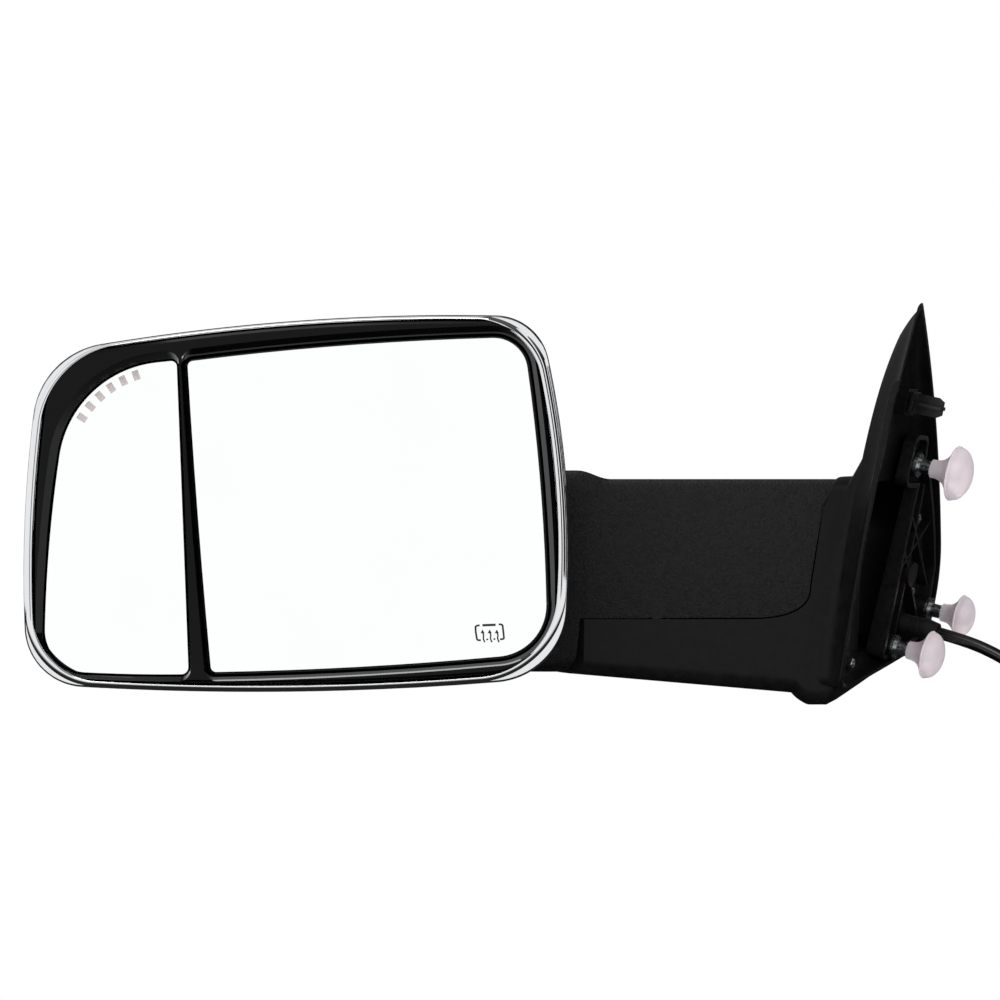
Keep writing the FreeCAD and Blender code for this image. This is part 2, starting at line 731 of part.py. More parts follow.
def make_drive_plate():
    """Plate that carries the drive on the floor of the housing, and the screws that hold it."""
    back = HEAD_BACK - size("cap_wall") - 3.3
    front = back - size("plate_thickness")
    reach = size("drive_radius")
    plate = slab(vec(MAIN_X - reach * 1.17, front, MAIN_Z - reach * 0.66),
                 vec(MAIN_X + reach * 1.17, back, MAIN_Z + reach * 1.11))
    post = rod(vec(FLIP.x, back - 40.0, FLIP.z), vec(0, 1, 0), size("spring_radius") + 3.0, 60.0)
    plate = plate.cut(post)
    radius = size("screw_head_radius")
    screws = []
    for across, up in DRIVE_SCREW_PLACES:
        seat = vec(MAIN_X + across * reach, front, MAIN_Z + up * reach)
        plate = plate.cut(rod(seat - vec(0, 1, 0), vec(0, 1, 0), radius * 0.5 + 0.05, 30.0))
        screw = cross_screw(radius, size("screw_head_height"), radius * 0.5, size("plate_thickness"))
        screw.Placement = facing(seat, vec(0, -1, 0))
        screws.append(screw)
    add_node("drive_plate", plate)
    return add_node("drive_screws", Part.makeCompound(screws))


def make_spotter_glass():
    """Convex glass: the outline cut from a spherical shell whose crown points at the viewer."""
    radius = size("spotter_radius")
    centre = vec(SPOT_X, GLASS_FRONT - 1.5 + radius, SPOT_Z)
    shell = Part.makeSphere(radius, centre).cut(Part.makeSphere(radius - size("glass_thickness"), centre))
    block = Part.Face(spotter_loop(0.0, GLASS_FRONT - 5.0)).extrude(vec(0, 20.0, 0))
    return add_node("spotter_glass", block.common(shell))


def lamp_places():
    """Middles of the signal lamps (x, z): evenly round the spotter's big corner, set in from its edge."""
    low, top = SPOTTER_CORNERS[0], SPOTTER_CORNERS[3]
    inner = SPOTTER_CORNERS[2]
    top_centre, top_radius = side_circle(inner, top, SPOTTER_BOWS[2])
    side_centre, side_radius = side_circle(top, low, SPOTTER_BOWS[3])
    corner_round = SPOTTER_ROUNDS[3]
    hub = meeting(top_centre, top_radius - corner_round, side_centre, side_radius - corner_round, top)
    radius = corner_round - size("lamp_inset")
    places = []
    for i in range(6):
        turn = math.radians(size("lamp_first_turn") - i * size("lamp_step"))
        places.append((HEAD_X + hub[0] + radius * math.cos(turn), HEAD_Z + hub[1] + radius * math.sin(turn), turn))
    return places


def lamp_block(place, side, front, back):
    """Square block for one lamp, turned to face the corner's middle."""
    x, z, turn = place
    block = Part.makeBox(side, back - front, side, vec(-side / 2, 0, -side / 2))
    block.Placement = FreeCAD.Placement(vec(x, front, z), FreeCAD.Rotation(vec(0, 1, 0), -math.degrees(turn)))
    return block


def spotter_inside():
    """Ball that touches the back of the spotter glass."""
    radius = size("spotter_radius")
    return Part.makeSphere(radius - size("glass_thickness"), vec(SPOT_X, GLASS_FRONT - 1.5 + radius, SPOT_Z))


def make_spotter_backing():
    """Carrier whose front follows the curved glass, with ears for the ring and windows for the lamps."""
    back = GLASS_FRONT + size("spotter_pivot_back") - 4.6
    block = Part.Face(spotter_loop(size("backing_inset"), GLASS_FRONT - 5.0)).extrude(vec(0, back - GLASS_FRONT + 5.0, 0))
    plate = block.common(spotter_inside())
    for direction in SIDEWAYS:
        plate = plate.fuse(ear(SPOT_PIVOT, direction, size("spotter_ring_radius"), back - 0.5, SPOT_PIVOT.y + 2.6))
    side = size("lamp_side")
    lamps = []
    for place in lamp_places():
        plate = plate.cut(lamp_block(place, side + 0.4, back - 10.0, back + 10.0))
        lamps.append(lamp_block(place, side, back - 1.4, back))
    add_node("spotter_backing", plate)
    thickness = size("board_thickness")
    x, z, turn = lamp_places()[0]
    outer = size("lamp_side") * 0.8
    board = None
    places = lamp_places()
    for i in range(len(places) - 1):
        start = vec(places[i][0], back, places[i][1])
        run = vec(places[i + 1][0], back, places[i + 1][1]) - start
        strip = Part.makeBox(run.Length, thickness, outer * 2, vec(0, 0, -outer))
        strip.Placement = FreeCAD.Placement(start, FreeCAD.Rotation(vec(1, 0, 0), run))
        pad = rod(start, vec(0, 1, 0), outer, thickness)
        board = strip.fuse(pad) if board is None else board.fuse(strip).fuse(pad)
    board = board.fuse(rod(vec(places[-1][0], back, places[-1][1]), vec(0, 1, 0), outer, thickness))
    for lamp in lamps:
        board = board.fuse(lamp)
    return add_node("signal_board", board)


def make_pedestal():
    """Pedestal from the housing's floor to the spotter's ring."""
    front = SPOT_PIVOT.y + size("ring_height") / 2 + 3.0
    back = HEAD_BACK - size("cap_wall") - 3.3
    radius = size("spotter_ring_radius")
    body = rod(vec(SPOT_X, front, SPOT_Z), vec(0, 1, 0), radius + 5.0, 6.0)
    neck = Part.makeCone(radius + 5.0, radius + 10.0, back - front - 6.0, vec(SPOT_X, front + 6.0, SPOT_Z), vec(0, 1, 0))
    body = body.fuse(neck)
    for direction in UPRIGHT:
        body = body.fuse(ear(SPOT_PIVOT, direction, radius, SPOT_PIVOT.y - 2.4, front + 3.0))
    return add_node("spotter_pedestal", body)


# ---------------------------------------------------------------------------------------------
# Arm and pivots.

def end_profile(shrink, drop, low):
    """Surface of turning about the fold pivot that bounds the arm below and inboard.

    shrink draws the profile in for the running gap, drop lowers the seam, low is where it starts.
    """
    def at(radius, height):
        return vec(FOLD.x + radius, FOLD.y, height)
    low_radius = size("end_low_radius") - shrink
    top_radius = size("end_top_radius") - shrink
    corner = 34.0
    edges = [
        Part.LineSegment(at(0, low), at(low_radius - corner, low)).toShape(),
        Part.Arc(at(low_radius - corner, low), at(low_radius - 9.0, low + 5.0 + drop), at(low_radius, SEAM + 20.0)).toShape(),
        Part.LineSegment(at(low_radius, SEAM + 20.0), at(low_radius + 7.0, SEAM + 70.0)).toShape(),
        Part.LineSegment(at(low_radius + 7.0, SEAM + 70.0), at(top_radius, size("arm_top") + 18.0)).toShape(),
        Part.LineSegment(at(top_radius, size("arm_top") + 18.0), at(0, size("arm_top") + 18.0)).toShape(),
        Part.LineSegment(at(0, size("arm_top") + 18.0), at(0, low)).toShape(),
    ]
    face = Part.Face(Part.Wire(edges))
    return face.revolve(FOLD, vec(0, 0, 1), 360)


def arm_elevation():
    """Rear view of the arm: the hub's round end, the waist and the square inboard end."""
    top = size("arm_top")
    low = size("arm_low")
    hub = size("hub_radius")
    inboard = -30.0
    start_low = vec(FLIP.x - hub * 0.5, ARM_REAR, FLIP.z - hub * 0.866)
    hub_side = vec(FLIP.x - hub, ARM_REAR, FLIP.z)
    start_top = vec(FLIP.x - hub * 0.1, ARM_REAR, FLIP.z + hub * 0.995)
    edges = [
        Part.Arc(start_low, hub_side, start_top).toShape(),
        Part.LineSegment(start_top, vec(FOLD.x - 48.0, ARM_REAR, top + 5.6)).toShape(),
        Part.Arc(vec(FOLD.x - 48.0, ARM_REAR, top + 5.6), vec(FOLD.x - 38.0, ARM_REAR, top + 5.0),
                 vec(FOLD.x - 24.0, ARM_REAR, top)).toShape(),
        Part.LineSegment(vec(FOLD.x - 24.0, ARM_REAR, top), vec(inboard, ARM_REAR, top)).toShape(),
        Part.LineSegment(vec(inboard, ARM_REAR, top), vec(inboard, ARM_REAR, low)).toShape(),
        Part.LineSegment(vec(inboard, ARM_REAR, low), vec(FOLD.x - 66.0, ARM_REAR, low)).toShape(),
        Part.Arc(vec(FOLD.x - 66.0, ARM_REAR, low), vec(FOLD.x - 84.0, ARM_REAR, low + 2.5),
                 start_low + vec(32.0, 0, -6.0)).toShape(),
        Part.LineSegment(start_low + vec(32.0, 0, -6.0), start_low).toShape(),
    ]
    return Part.Face(Part.Wire(edges)).extrude(vec(0, size("arm_depth"), 0))


def arm_plan():
    """Top view of the arm: straight behind, its forward side swept back towards the hub."""
    outboard = FLIP.x - size("hub_radius") - 2.0
    low = -120.0
    points = [vec(outboard, ARM_REAR, low), vec(-20, ARM_REAR, low), vec(-20, ARM_FORWARD, low),
              vec(FOLD.x - 30.0, ARM_FORWARD, low)]
    edges = [Part.LineSegment(points[i], points[i + 1]).toShape() for i in range(3)]
    edges.append(Part.Arc(points[3], vec(FOLD.x - 100.0, ARM_FORWARD - 16.0, low),
                          vec(outboard, ARM_REAR + 44.0, low)).toShape())
    edges.append(Part.LineSegment(vec(outboard, ARM_REAR + 44.0, low), points[0]).toShape())
    return Part.Face(Part.Wire(edges)).extrude(vec(0, 0, 240))


def make_arm():
    arm = arm_elevation().common(arm_plan())
    seam = SEAM + size("arm_bottom_gap")
    gap = size("arm_end_gap")
    right_side = slab(vec(FOLD.x, -200, -150), vec(60, 120, 150)).cut(end_profile(gap, 0.0, seam))
    arm = arm.cut(right_side)
    under = rod(vec(FOLD.x, FOLD.y, -150), vec(0, 0, 1), size("shelf_radius") + gap, seam + 150)
    arm = arm.cut(under)
    bushing_outer = size("post_radius") + size("running_clearance") + size("bushing_wall")
    arm = arm.cut(rod(vec(FOLD.x, FOLD.y, SEAM - 5), vec(0, 0, 1), bushing_outer, 60.0))
    chamber = SEAM + size("fold_bushing_length")
    arm = arm.cut(rod(vec(FOLD.x, FOLD.y, chamber), vec(0, 0, 1), size("spring_chamber"), size("spring_chamber") * 2))
    seat = size("post_radius") + size("running_clearance")
    arm = arm.cut(rod(vec(FLIP.x, ARM_REAR - 1, FLIP.z), vec(0, 1, 0), seat, size("flip_post_seat") + 1.0))
    recess = size("thrust_height") + size("seat_gap") * 2
    ring = tube(vec(FOLD.x, FOLD.y, SEAM), vec(0, 0, 1), size("thrust_outer") + 0.1, size("thrust_inner") - 0.1, recess)
    return add_node("arm_housing", arm.cut(ring))


def make_pivots():
    """Posts, bushings, thrust ring, disc springs and nuts of the fold pivot and of the flip pivot."""
    up = vec(0, 0, 1)
    back = vec(0, -1, 0)
    post = "sizes.post_radius"
    sleeve = post + " + sizes.running_clearance"
    sleeve_outside = sleeve + " + sizes.bushing_wall"
    chamfer = "sizes.stud_chamfer"

    def post_profile(length):
        return [("sizes.post_bore", "0"), (post, "0"), (post, length + " - " + chamfer),
                (post + " - " + chamfer, length), ("sizes.post_bore", length)]
    foot = vec(FOLD.x, FOLD.y, SEAM - size("post_seat"))
    turned("fold_post", post_profile("sizes.post_height + sizes.post_seat"), facing(foot, up))
    bushing_foot = vec(FOLD.x, FOLD.y, SEAM + size("arm_bottom_gap"))
    bushing_length = "sizes.fold_bushing_length - sizes.arm_bottom_gap"
    turned("fold_bushing", ring_profile(sleeve, sleeve_outside, "0", bushing_length), facing(bushing_foot, up))
    ring_foot = vec(FOLD.x, FOLD.y, SEAM + size("seat_gap"))
    turned("fold_thrust_ring", ring_profile("sizes.thrust_inner", "sizes.thrust_outer", "0", "sizes.thrust_height"),
           facing(ring_foot, up))
    spring_foot = SEAM + size("fold_bushing_length") + size("seat_gap")
    make_discs("fold_springs", 4, vec(FOLD.x, FOLD.y, spring_foot), up)
    make_nut("fold_nut", vec(FOLD.x, FOLD.y, spring_foot + 4 * size("spring_pitch") + size("seat_gap")), up)

    root = vec(FLIP.x, ARM_REAR + size("flip_post_seat"), FLIP.z)
    turned("flip_post", post_profile("sizes.flip_post_length"), facing(root, back))
    turned("flip_bushing", ring_profile(sleeve, sleeve_outside, "0", "sizes.boss_length - 0.2"),
           facing(vec(FLIP.x, HEAD_BACK - 0.1, FLIP.z), back))
    inner_face = HEAD_BACK - size("boss_length") - size("seat_gap")
    make_discs("flip_springs", 2, vec(FLIP.x, inner_face, FLIP.z), back)
    make_nut("flip_nut", vec(FLIP.x, inner_face - 2 * size("spring_pitch") - size("seat_gap"), FLIP.z), back)


# ---------------------------------------------------------------------------------------------
# Base.

def door_plane(height, pitch=0.0):
    """Flat (a, b) on the door frame to a point of the door frame, its plane tipped by a pitch."""
    return lambda p: vec(p[0], p[1], height + pitch * (p[1] + 60.0))


SAIL_CORNERS = [(-98.0, -76.0), (56.0, -47.0), (55.0, 4.0), (-91.0, 187.0)]
SAIL_BOWS = [0.6, 1.0, 8.5, 12.0]
SAIL_ROUNDS = [12.0, 20.0, 60.0, 8.0]


def sail_loop(inset, height, pitch):
    rounds = [max(r - inset, 3.0) for r in SAIL_ROUNDS]
    return bowed_loop(SAIL_CORNERS, SAIL_BOWS, rounds, even(inset), door_plane(height, pitch))


def sail_solid(wall, lift):
    """Dish of the sail in the car's frame; wall draws it in and lift raises its floor."""
    depth = size("sail_depth") - lift
    thin = size("sail_top_thinning")
    stations = [(0.8, 0.0, 0.0), (0.0, 0.22, 0.1), (0.6, 0.6, 0.5), (3.0, 0.88, 0.85), (7.5, 1.0, 1.0)]
    if wall:
        stations = [(0.0, -0.2, 0.0), (0.0, 0.3, 0.2), (0.6, 0.7, 0.7), (4.0, 1.0, 1.0)]
    loops = [sail_loop(inset + wall, -depth * share, thin * thin_share) for inset, share, thin_share in stations]
    solid = Part.makeLoft(loops, True, False)
    solid.Placement = DOOR
    return solid


def trunk_solid(wall):
    """Trunk between the arm's end and the sail: a rounded block that narrows and rises to the door."""
    def section(x, rear, forward, low, top):
        corners = [(rear + wall, low + wall), (forward - wall, low + wall),
                   (forward - wall, top - wall), (rear + wall, top - wall)]
        rounds = [max(9.0 - wall, 4.0), max(22.0 - wall, 4.0), max(22.0 - wall, 4.0), max(9.0 - wall, 4.0)]
        return bowed_loop(corners, [1.5, 1.5, 1.5, 1.5], rounds, even(0.0), lambda p: vec(x, p[0], p[1]))
    near = section(FOLD.x + 97.0, ARM_REAR, ARM_FORWARD, size("trunk_low") + 1.0, size("arm_top"))
    middle = section(FOLD.x + 114.0, ARM_REAR, ARM_FORWARD, size("trunk_low"), size("arm_top") + 1.0)
    far = section(10.0, ARM_REAR + 3.0, ARM_FORWARD + 8.0, size("trunk_low") + 30.0, size("arm_top") + 14.0)
    return Part.makeLoft([near, middle, far], True, True)


def shelf_solid():
    """Shelf under the arm: round about the fold pivot at its outboard end, sloping down inboard."""
    radius = size("shelf_radius")
    half = size("arm_depth") / 2 - 0.2
    reach = math.sqrt(radius * radius - half * half)
    inboard = FOLD.x + 112.0
    low = -110.0
    left_rear = vec(FOLD.x - reach, FOLD.y - half, low)
    left_forward = vec(FOLD.x - reach, FOLD.y + half, low)
    edges = [
        Part.Arc(left_forward, vec(FOLD.x - radius, FOLD.y, low), left_rear).toShape(),
        Part.LineSegment(left_rear, vec(inboard, FOLD.y - half, low)).toShape(),
        Part.LineSegment(vec(inboard, FOLD.y - half, low), vec(inboard, FOLD.y + half, low)).toShape(),
        Part.LineSegment(vec(inboard, FOLD.y + half, low), left_forward).toShape(),
    ]
    block = Part.Face(Part.Wire(edges)).extrude(vec(0, 0, SEAM + 110.0))
    slope = size("shelf_slope")
    start = size("shelf_low")
    length = 170.0
    cutter = Part.Face(Part.makePolygon([
        vec(FOLD.x - 70.0, -150, start), vec(FOLD.x - 70.0 + length + 20.0, -150, start - slope * (length + 20.0)),
        vec(FOLD.x - 70.0 + length + 20.0, -150, -130), vec(FOLD.x - 70.0, -150, -130),
        vec(FOLD.x - 70.0, -150, start)])).extrude(vec(0, 300, 0))
    return block.cut(cutter)


def beyond_door(height):
    """Everything on the car's side of the door face, from this height above it."""
    block = Part.makeBox(400, 500, 200, vec(-200, -250, height))
    block.Placement = DOOR
    return block


PIN_PLACE = (-66.0, 113.5)
LEDGE_PLACE = (-58.0, -60.0)


def make_base():
    """Base moulding: shelf, trunk and sail as one shell, with the pin's boss and the post's bore."""
    wall = size("base_wall")
    depth = size("sail_depth")
    outer_trunk = trunk_solid(0.0).cut(beyond_door(-depth * 0.5))
    inner_trunk = trunk_solid(wall).cut(beyond_door(-depth * 0.4))
    inner_trunk = inner_trunk.cut(end_profile(-wall, 0.0, SEAM - 80.0))
    housing = shelf_solid().fuse(outer_trunk).fuse(sail_solid(0.0, 0.0))
    housing = housing.cut(end_profile(0.0, 0.0, SEAM))
    cavity = sail_solid(wall, wall * 0.8).fuse(inner_trunk)
    housing = housing.cut(cavity)
    side = size("pin_boss")
    height = depth - size("pin_boss_drop")
    boss = Part.makeBox(side, side, height, vec(PIN_PLACE[0] - side / 2, PIN_PLACE[1] - side / 2, -depth + 1.0))
    ledge = rod(vec(LEDGE_PLACE[0], LEDGE_PLACE[1], -depth + 1.0), vec(0, 0, 1), size("ledge_radius"), 5.0)
    inserts = boss.fuse(ledge)
    inserts.Placement = DOOR
    housing = housing.fuse(inserts.common(sail_solid(0.0, 0.0)))
    post_bore = rod(vec(FOLD.x, FOLD.y, SEAM - size("post_seat")), vec(0, 0, 1),
                    size("post_radius") + size("running_clearance"), 60.0)
    return add_node("base_housing", housing.cut(post_bore))


STUD_PLACES = {"upper": (-36.0, 73.0), "lower_front": (44.0, -24.0), "lower_rear": (-10.0, -48.0)}
REST_PAD = (0.0, 0.0)
CABLE_EXIT = (9.5, -34.0)


def floor_level(rise):
    """Height of the sail's inner floor below the door face at the foot of the sail, and its pitch."""
    return -(size("sail_depth") - size("base_wall") * 0.8) + rise, size("sail_top_thinning")


BRACKET_SCREW_PLACES = [(-15.0, -20.0), (30.0, -14.0), (8.0, 36.0)]


def make_bracket():
    """Ribbed bracket in the sail: two walled cells with a floor, crossing ribs and stud bosses."""
    wall = size("bracket_wall")
    level, pitch = floor_level(size("seat_gap"))
    tall = 40.0
    main_cell = [(-25.0, -58.0), (50.0, -42.0), (46.0, 4.0), (-8.0, 72.0), (-23.0, 72.0)]
    top_cell = [(-47.0, 58.0), (-14.0, 58.0), (-20.0, 92.0), (-45.0, 92.0)]
    cells = [(main_cell, [0.4, 0.6, 3.0, 0.6, 0.6], [5.0, 8.0, 16.0, 6.0, 4.0]),
             (top_cell, [0.4, 0.4, 0.4, 0.4], [6.0, 4.0, 8.0, 8.0])]

    def prism(cell, inset, start):
        corners, bows, rounds = cell
        shrunk = [max(r - inset, 1.5) for r in rounds]
        wire = bowed_loop(corners, bows, shrunk, [inset] * len(corners), door_plane(start, pitch))
        return Part.Face(wire).extrude(vec(0, 0, tall))
    solid = prism(cells[0], 0.0, level).fuse(prism(cells[1], 0.0, level))
    bounds = solid.copy()
    for cell in cells:
        solid = solid.cut(prism(cell, wall, level + size("floor_thickness")))
    rib_ends = [((-24.0, 44.0), (40.0, -8.0)), ((-24.0, 0.0), (22.0, 36.0)), ((-24.0, 20.0), (40.0, -36.0)),
                ((-5.0, -52.0), (-5.0, 60.0)), ((-46.0, 74.0), (-16.0, 84.0))]
    for start, end in rib_ends:
        run = vec(end[0] - start[0], end[1] - start[1], 0)
        rib = Part.makeBox(run.Length, size("rib_thickness"), tall, vec(0, -size("rib_thickness") / 2, 0))
        rib.Placement = FreeCAD.Placement(vec(start[0], start[1], level), FreeCAD.Rotation(vec(1, 0, 0), run))
        rib = rib.cut(Part.makeBox(300, 400, 60, vec(-150, -200, -size("bracket_sink") - 1.6)))
        solid = solid.fuse(rib.common(bounds))
    boss_radius = size("boss_radius")
    pads = list(STUD_PLACES.values()) + [REST_PAD]
    for place in pads:
        boss = rod(vec(place[0], place[1], level), vec(0, 0, 1), boss_radius, tall)
        solid = solid.fuse(boss.common(Part.makeBox(300, 400, 60, vec(-150, -200, level + pitch * (place[1] + 52.0)))))
    solid = solid.cut(rod(vec(CABLE_EXIT[0], CABLE_EXIT[1], -60), vec(0, 0, 1), size("boot_radius") + 0.4, 90))
    rim = Part.makeBox(300, 400, 60, vec(-150, -200, -size("bracket_sink")))
    for place in pads:
        rim = rim.cut(rod(vec(place[0], place[1], -5), vec(0, 0, 1), boss_radius, 5.0))
    solid = solid.cut(rim)
    for place in BRACKET_SCREW_PLACES:
        solid = solid.cut(rod(vec(place[0], place[1], -60), vec(0, 0, 1), size("screw_head_radius") * 0.5 + 0.05, 90))
    solid.Placement = DOOR
    gap = size("base_wall") + size("seat_gap")
    solid = solid.common(sail_solid(gap, size("base_wall") * 0.8 + size("seat_gap") * 0.5))
    return add_node("mount_bracket", solid)


def make_bracket_screws():
    """Screws that hold the bracket down on the sail's floor, and the one on the ledge beside it."""
    radius = size("screw_head_radius")
    level, pitch = floor_level(size("seat_gap"))
    screws = []
    for x, y in BRACKET_SCREW_PLACES:
        screw = cross_screw(radius, size("screw_head_height"), radius * 0.5, size("floor_thickness"))
        screw.Placement = FreeCAD.Placement(
            vec(x, y, level + pitch * (y + 60.0) + size("floor_thickness") + 0.1), FreeCAD.Rotation())
        screws.append(screw)
    ledge = cross_screw(radius, size("screw_head_height"), radius * 0.5, 0.5)
    ledge.Placement = FreeCAD.Placement(vec(LEDGE_PLACE[0], LEDGE_PLACE[1], -size("sail_depth") + 6.6), FreeCAD.Rotation())
    screws.append(ledge)
    group = Part.makeCompound(screws)
    group.Placement = DOOR
    return add_node("bracket_screws", group)


def make_locating_pin():
    """Ribbed pin that finds its hole in the door: crossed fins that taper to their tip, on a foot."""
    span = size("pin_span")
    fin = size("pin_fin")
    length = size("pin_length")
    foot = -size("pin_boss_drop") + 1.0
    side = span + 1.0
    shape = Part.makeBox(side, side, fin, vec(-side / 2, -side / 2, 0))
    for turn in (0.0, 90.0):
        outline = [vec(-span / 2, 0, 0), vec(span / 2, 0, 0), vec(span / 2, 0, length * 0.82),
                   vec(span / 2 - fin, 0, length), vec(-span / 2 + fin, 0, length),
                   vec(-span / 2, 0, length * 0.82), vec(-span / 2, 0, 0)]
        plate = Part.Face(Part.makePolygon(outline)).extrude(vec(0, fin, 0))
        plate.translate(vec(0, -fin / 2, 0))
        plate.rotate(vec(0, 0, 0), vec(0, 0, 1), turn)
        shape = shape.fuse(plate)
    shape.Placement = DOOR.multiply(FreeCAD.Placement(vec(PIN_PLACE[0], PIN_PLACE[1], foot), FreeCAD.Rotation()))
    return add_node("locating_pin", shape)


# ---------------------------------------------------------------------------------------------
# Cable and connector.

def make_boot():
    """Rubber boot the cable leaves through: ringed at its foot, tapered to its tip."""
    bore = "sizes.cable_diameter / 2 + sizes.running_clearance"
    foot = "0"
    outer = "sizes.boot_radius"
    profile = [(bore, foot), (outer, foot)]
    for ring in range(3):
        low = "sizes.boot_length * %.2f" % (0.44 + ring * 0.1)
        high = "sizes.boot_length * %.2f" % (0.48 + ring * 0.1)
        profile += [(outer, low), (outer + " - 0.8", low), (outer + " - 0.8", high), (outer, high)]
    profile += [(outer, "sizes.boot_length * 0.78"), (outer + " * 0.8", "sizes.boot_length"), (bore, "sizes.boot_length")]
    return turned("cable_boot", profile, door_placement(CABLE_EXIT, BOOT_FOOT))


def cable_points():
    """Bends of the cable: out along the boot, then falling in an easy curve to the connector."""
    start = DOOR.multVec(vec(CABLE_EXIT[0], CABLE_EXIT[1], BOOT_FOOT + 1.5))
    leaves = DOOR.multVec(vec(CABLE_EXIT[0], CABLE_EXIT[1], BOOT_FOOT + size("boot_length") + 13.0))
    falls = [(60.0, -18.0, -54.8), (86.0, -32.0, -76.0), (100.0, -42.0, -114.0), (103.0, -46.0, -160.0),
             (100.0, -50.0, -210.0), (94.0, -50.0, -258.0)]
    return [start, leaves] + [vec(*p) for p in falls]


BOOT_FOOT = -12.6

def make_cable():
    """Round cable: straight runs joined by tangent arcs, each arc taking 0.45 of the shorter run."""
    points = cable_points()
    edges = []
    here = points[0]
    for i in range(1, len(points) - 1):
        before = points[i] - points[i - 1]
        after = points[i + 1] - points[i]
        reach = 0.45 * min(before.Length, after.Length)
        arrive = points[i] - before.normalize() * reach
        leave = points[i] + after.normalize() * reach
        half_turn = before.getAngle(after) / 2
        radius = reach / math.tan(half_turn)
        inward = (after - before).normalize()
        centre = points[i] + inward * (radius / math.cos(half_turn))
        halfway = centre - inward * radius
        edges.append(Part.LineSegment(here, arrive).toShape())
        edges.append(Part.Arc(arrive, halfway, leave).toShape())
        print("cable bend radius %.0f" % radius)
        here = leave
    edges.append(Part.LineSegment(here, points[-1]).toShape())
    path = Part.Wire(edges)
    radius = size("cable_diameter") / 2
    profile = Part.Wire(Part.makeCircle(radius, points[0], points[1] - points[0]))
    cable = path.makePipeShell([profile], True, True)
    print("cable length %.1f swept %.0f drawn %.0f" % (path.Length, cable.Volume, math.pi * radius ** 2 * path.Length))
    return add_node("cable", cable)


def connector_placement():
    """Frame of the connector: its z runs on along the cable's last run."""
    points = cable_points()
    return facing(points[-1], points[-1] - points[-2])


def make_connector():
    """Plug: shell with a cable seal, a latch on its broad side and two rows of terminals."""
    frame = connector_placement()
    width = size("connector_width")
    thickness = size("connector_thickness")
    length = size("connector_length")
    wall = size("connector_wall")
    back = length * 0.3
    shell = slab(vec(-width / 2, -thickness / 2, -6.0), vec(width / 2, thickness / 2, length - 6.0))
    shell = shell.makeFillet(2.2, [e for e in shell.Edges if e.BoundBox.ZLength > length * 0.9])
    cavity = slab(vec(-width / 2 + wall, -thickness / 2 + wall, back), vec(width / 2 - wall, thickness / 2 - wall, length))
    entry = rod(vec(0, 0, -10), vec(0, 0, 1), size("cable_diameter") / 2 + 1.65, 10.1)
    shell = shell.cut(cavity).cut(entry)
    pitch = 4.2
    pins = []
    for column in range(5):
        for row in (-1, 1):
            x = (column - 2) * pitch
            y = row * thickness * 0.17
            pin = rod(vec(x, y, back - 6.0), vec(0, 0, 1), size("terminal_radius"), 18.0)
            shell = shell.cut(rod(vec(x, y, back - 6.0), vec(0, 0, 1), size("terminal_radius") + 0.02, 18.0))
            pins.append(pin)
    latch = slab(vec(-size("latch_width") / 2, thickness / 2, length * 0.1), vec(size("latch_width") / 2, thickness / 2 + 1.6, length * 0.75))
    nose = Part.Face(Part.makePolygon([
        vec(-size("latch_width") / 2, thickness / 2 + 1.6, length * 0.5), vec(-size("latch_width") / 2, thickness / 2 + 3.4, length * 0.5),
        vec(-size("latch_width") / 2, thickness / 2 + 1.6, length * 0.72),
        vec(-size("latch_width") / 2, thickness / 2 + 1.6, length * 0.5)])).extrude(vec(size("latch_width"), 0, 0))
    for label, shape in (("connector_housing", shell), ("connector_latch", latch.fuse(nose)),
                         ("connector_terminals", Part.makeCompound(pins))):
        shape.Placement = frame
        add_node(label, shape)
    bore = "sizes.cable_diameter / 2 + sizes.running_clearance"
    seal = turned("connector_seal", ring_profile(bore, "sizes.cable_diameter / 2 + 1.6", "0", "6.5"),
                  frame.multiply(FreeCAD.Placement(vec(0, 0, -7.5), FreeCAD.Rotation())))
    return seal


def door_placement(place, height):
    return DOOR.multiply(FreeCAD.Placement(vec(place[0], place[1], height), FreeCAD.Rotation()))


def make_studs():
    top = "sizes.flange_thickness + sizes.stud_length"
    stud = [
        ("0", "0"), ("sizes.flange_radius", "0"), ("sizes.flange_radius", "sizes.flange_thickness"),
        ("sizes.stud_radius", "sizes.flange_thickness"), ("sizes.stud_radius", top + " - sizes.stud_chamfer"),
        ("sizes.stud_radius - sizes.stud_chamfer", top), ("0", top),
    ]
    bore = "sizes.stud_radius + sizes.running_clearance"
    rim = "sizes.cap_start + sizes.cap_rim_up"
    cap = [
        (bore, "sizes.cap_start"), ("sizes.cap_sleeve", "sizes.cap_start"), ("sizes.cap_radius", rim),
        ("sizes.cap_radius", rim + " + sizes.cap_rim"), ("sizes.cap_radius * 0.62", rim + " + sizes.cap_rim * 3.2"),
        ("0", "sizes.cap_start + sizes.cap_height"), ("0", top + " + sizes.running_clearance"),
        (bore, top + " + sizes.running_clearance"),
    ]
    for name, place in STUD_PLACES.items():
        turned("stud_" + name, stud, door_placement(place, 0.0))
        turned("stud_cap_" + name, cap, door_placement(place, 0.0))


def save():
    os.makedirs("parts", exist_ok=True)
    for node in nodes:
        node.Shape.exportStep("parts/%s.step" % node.Label)


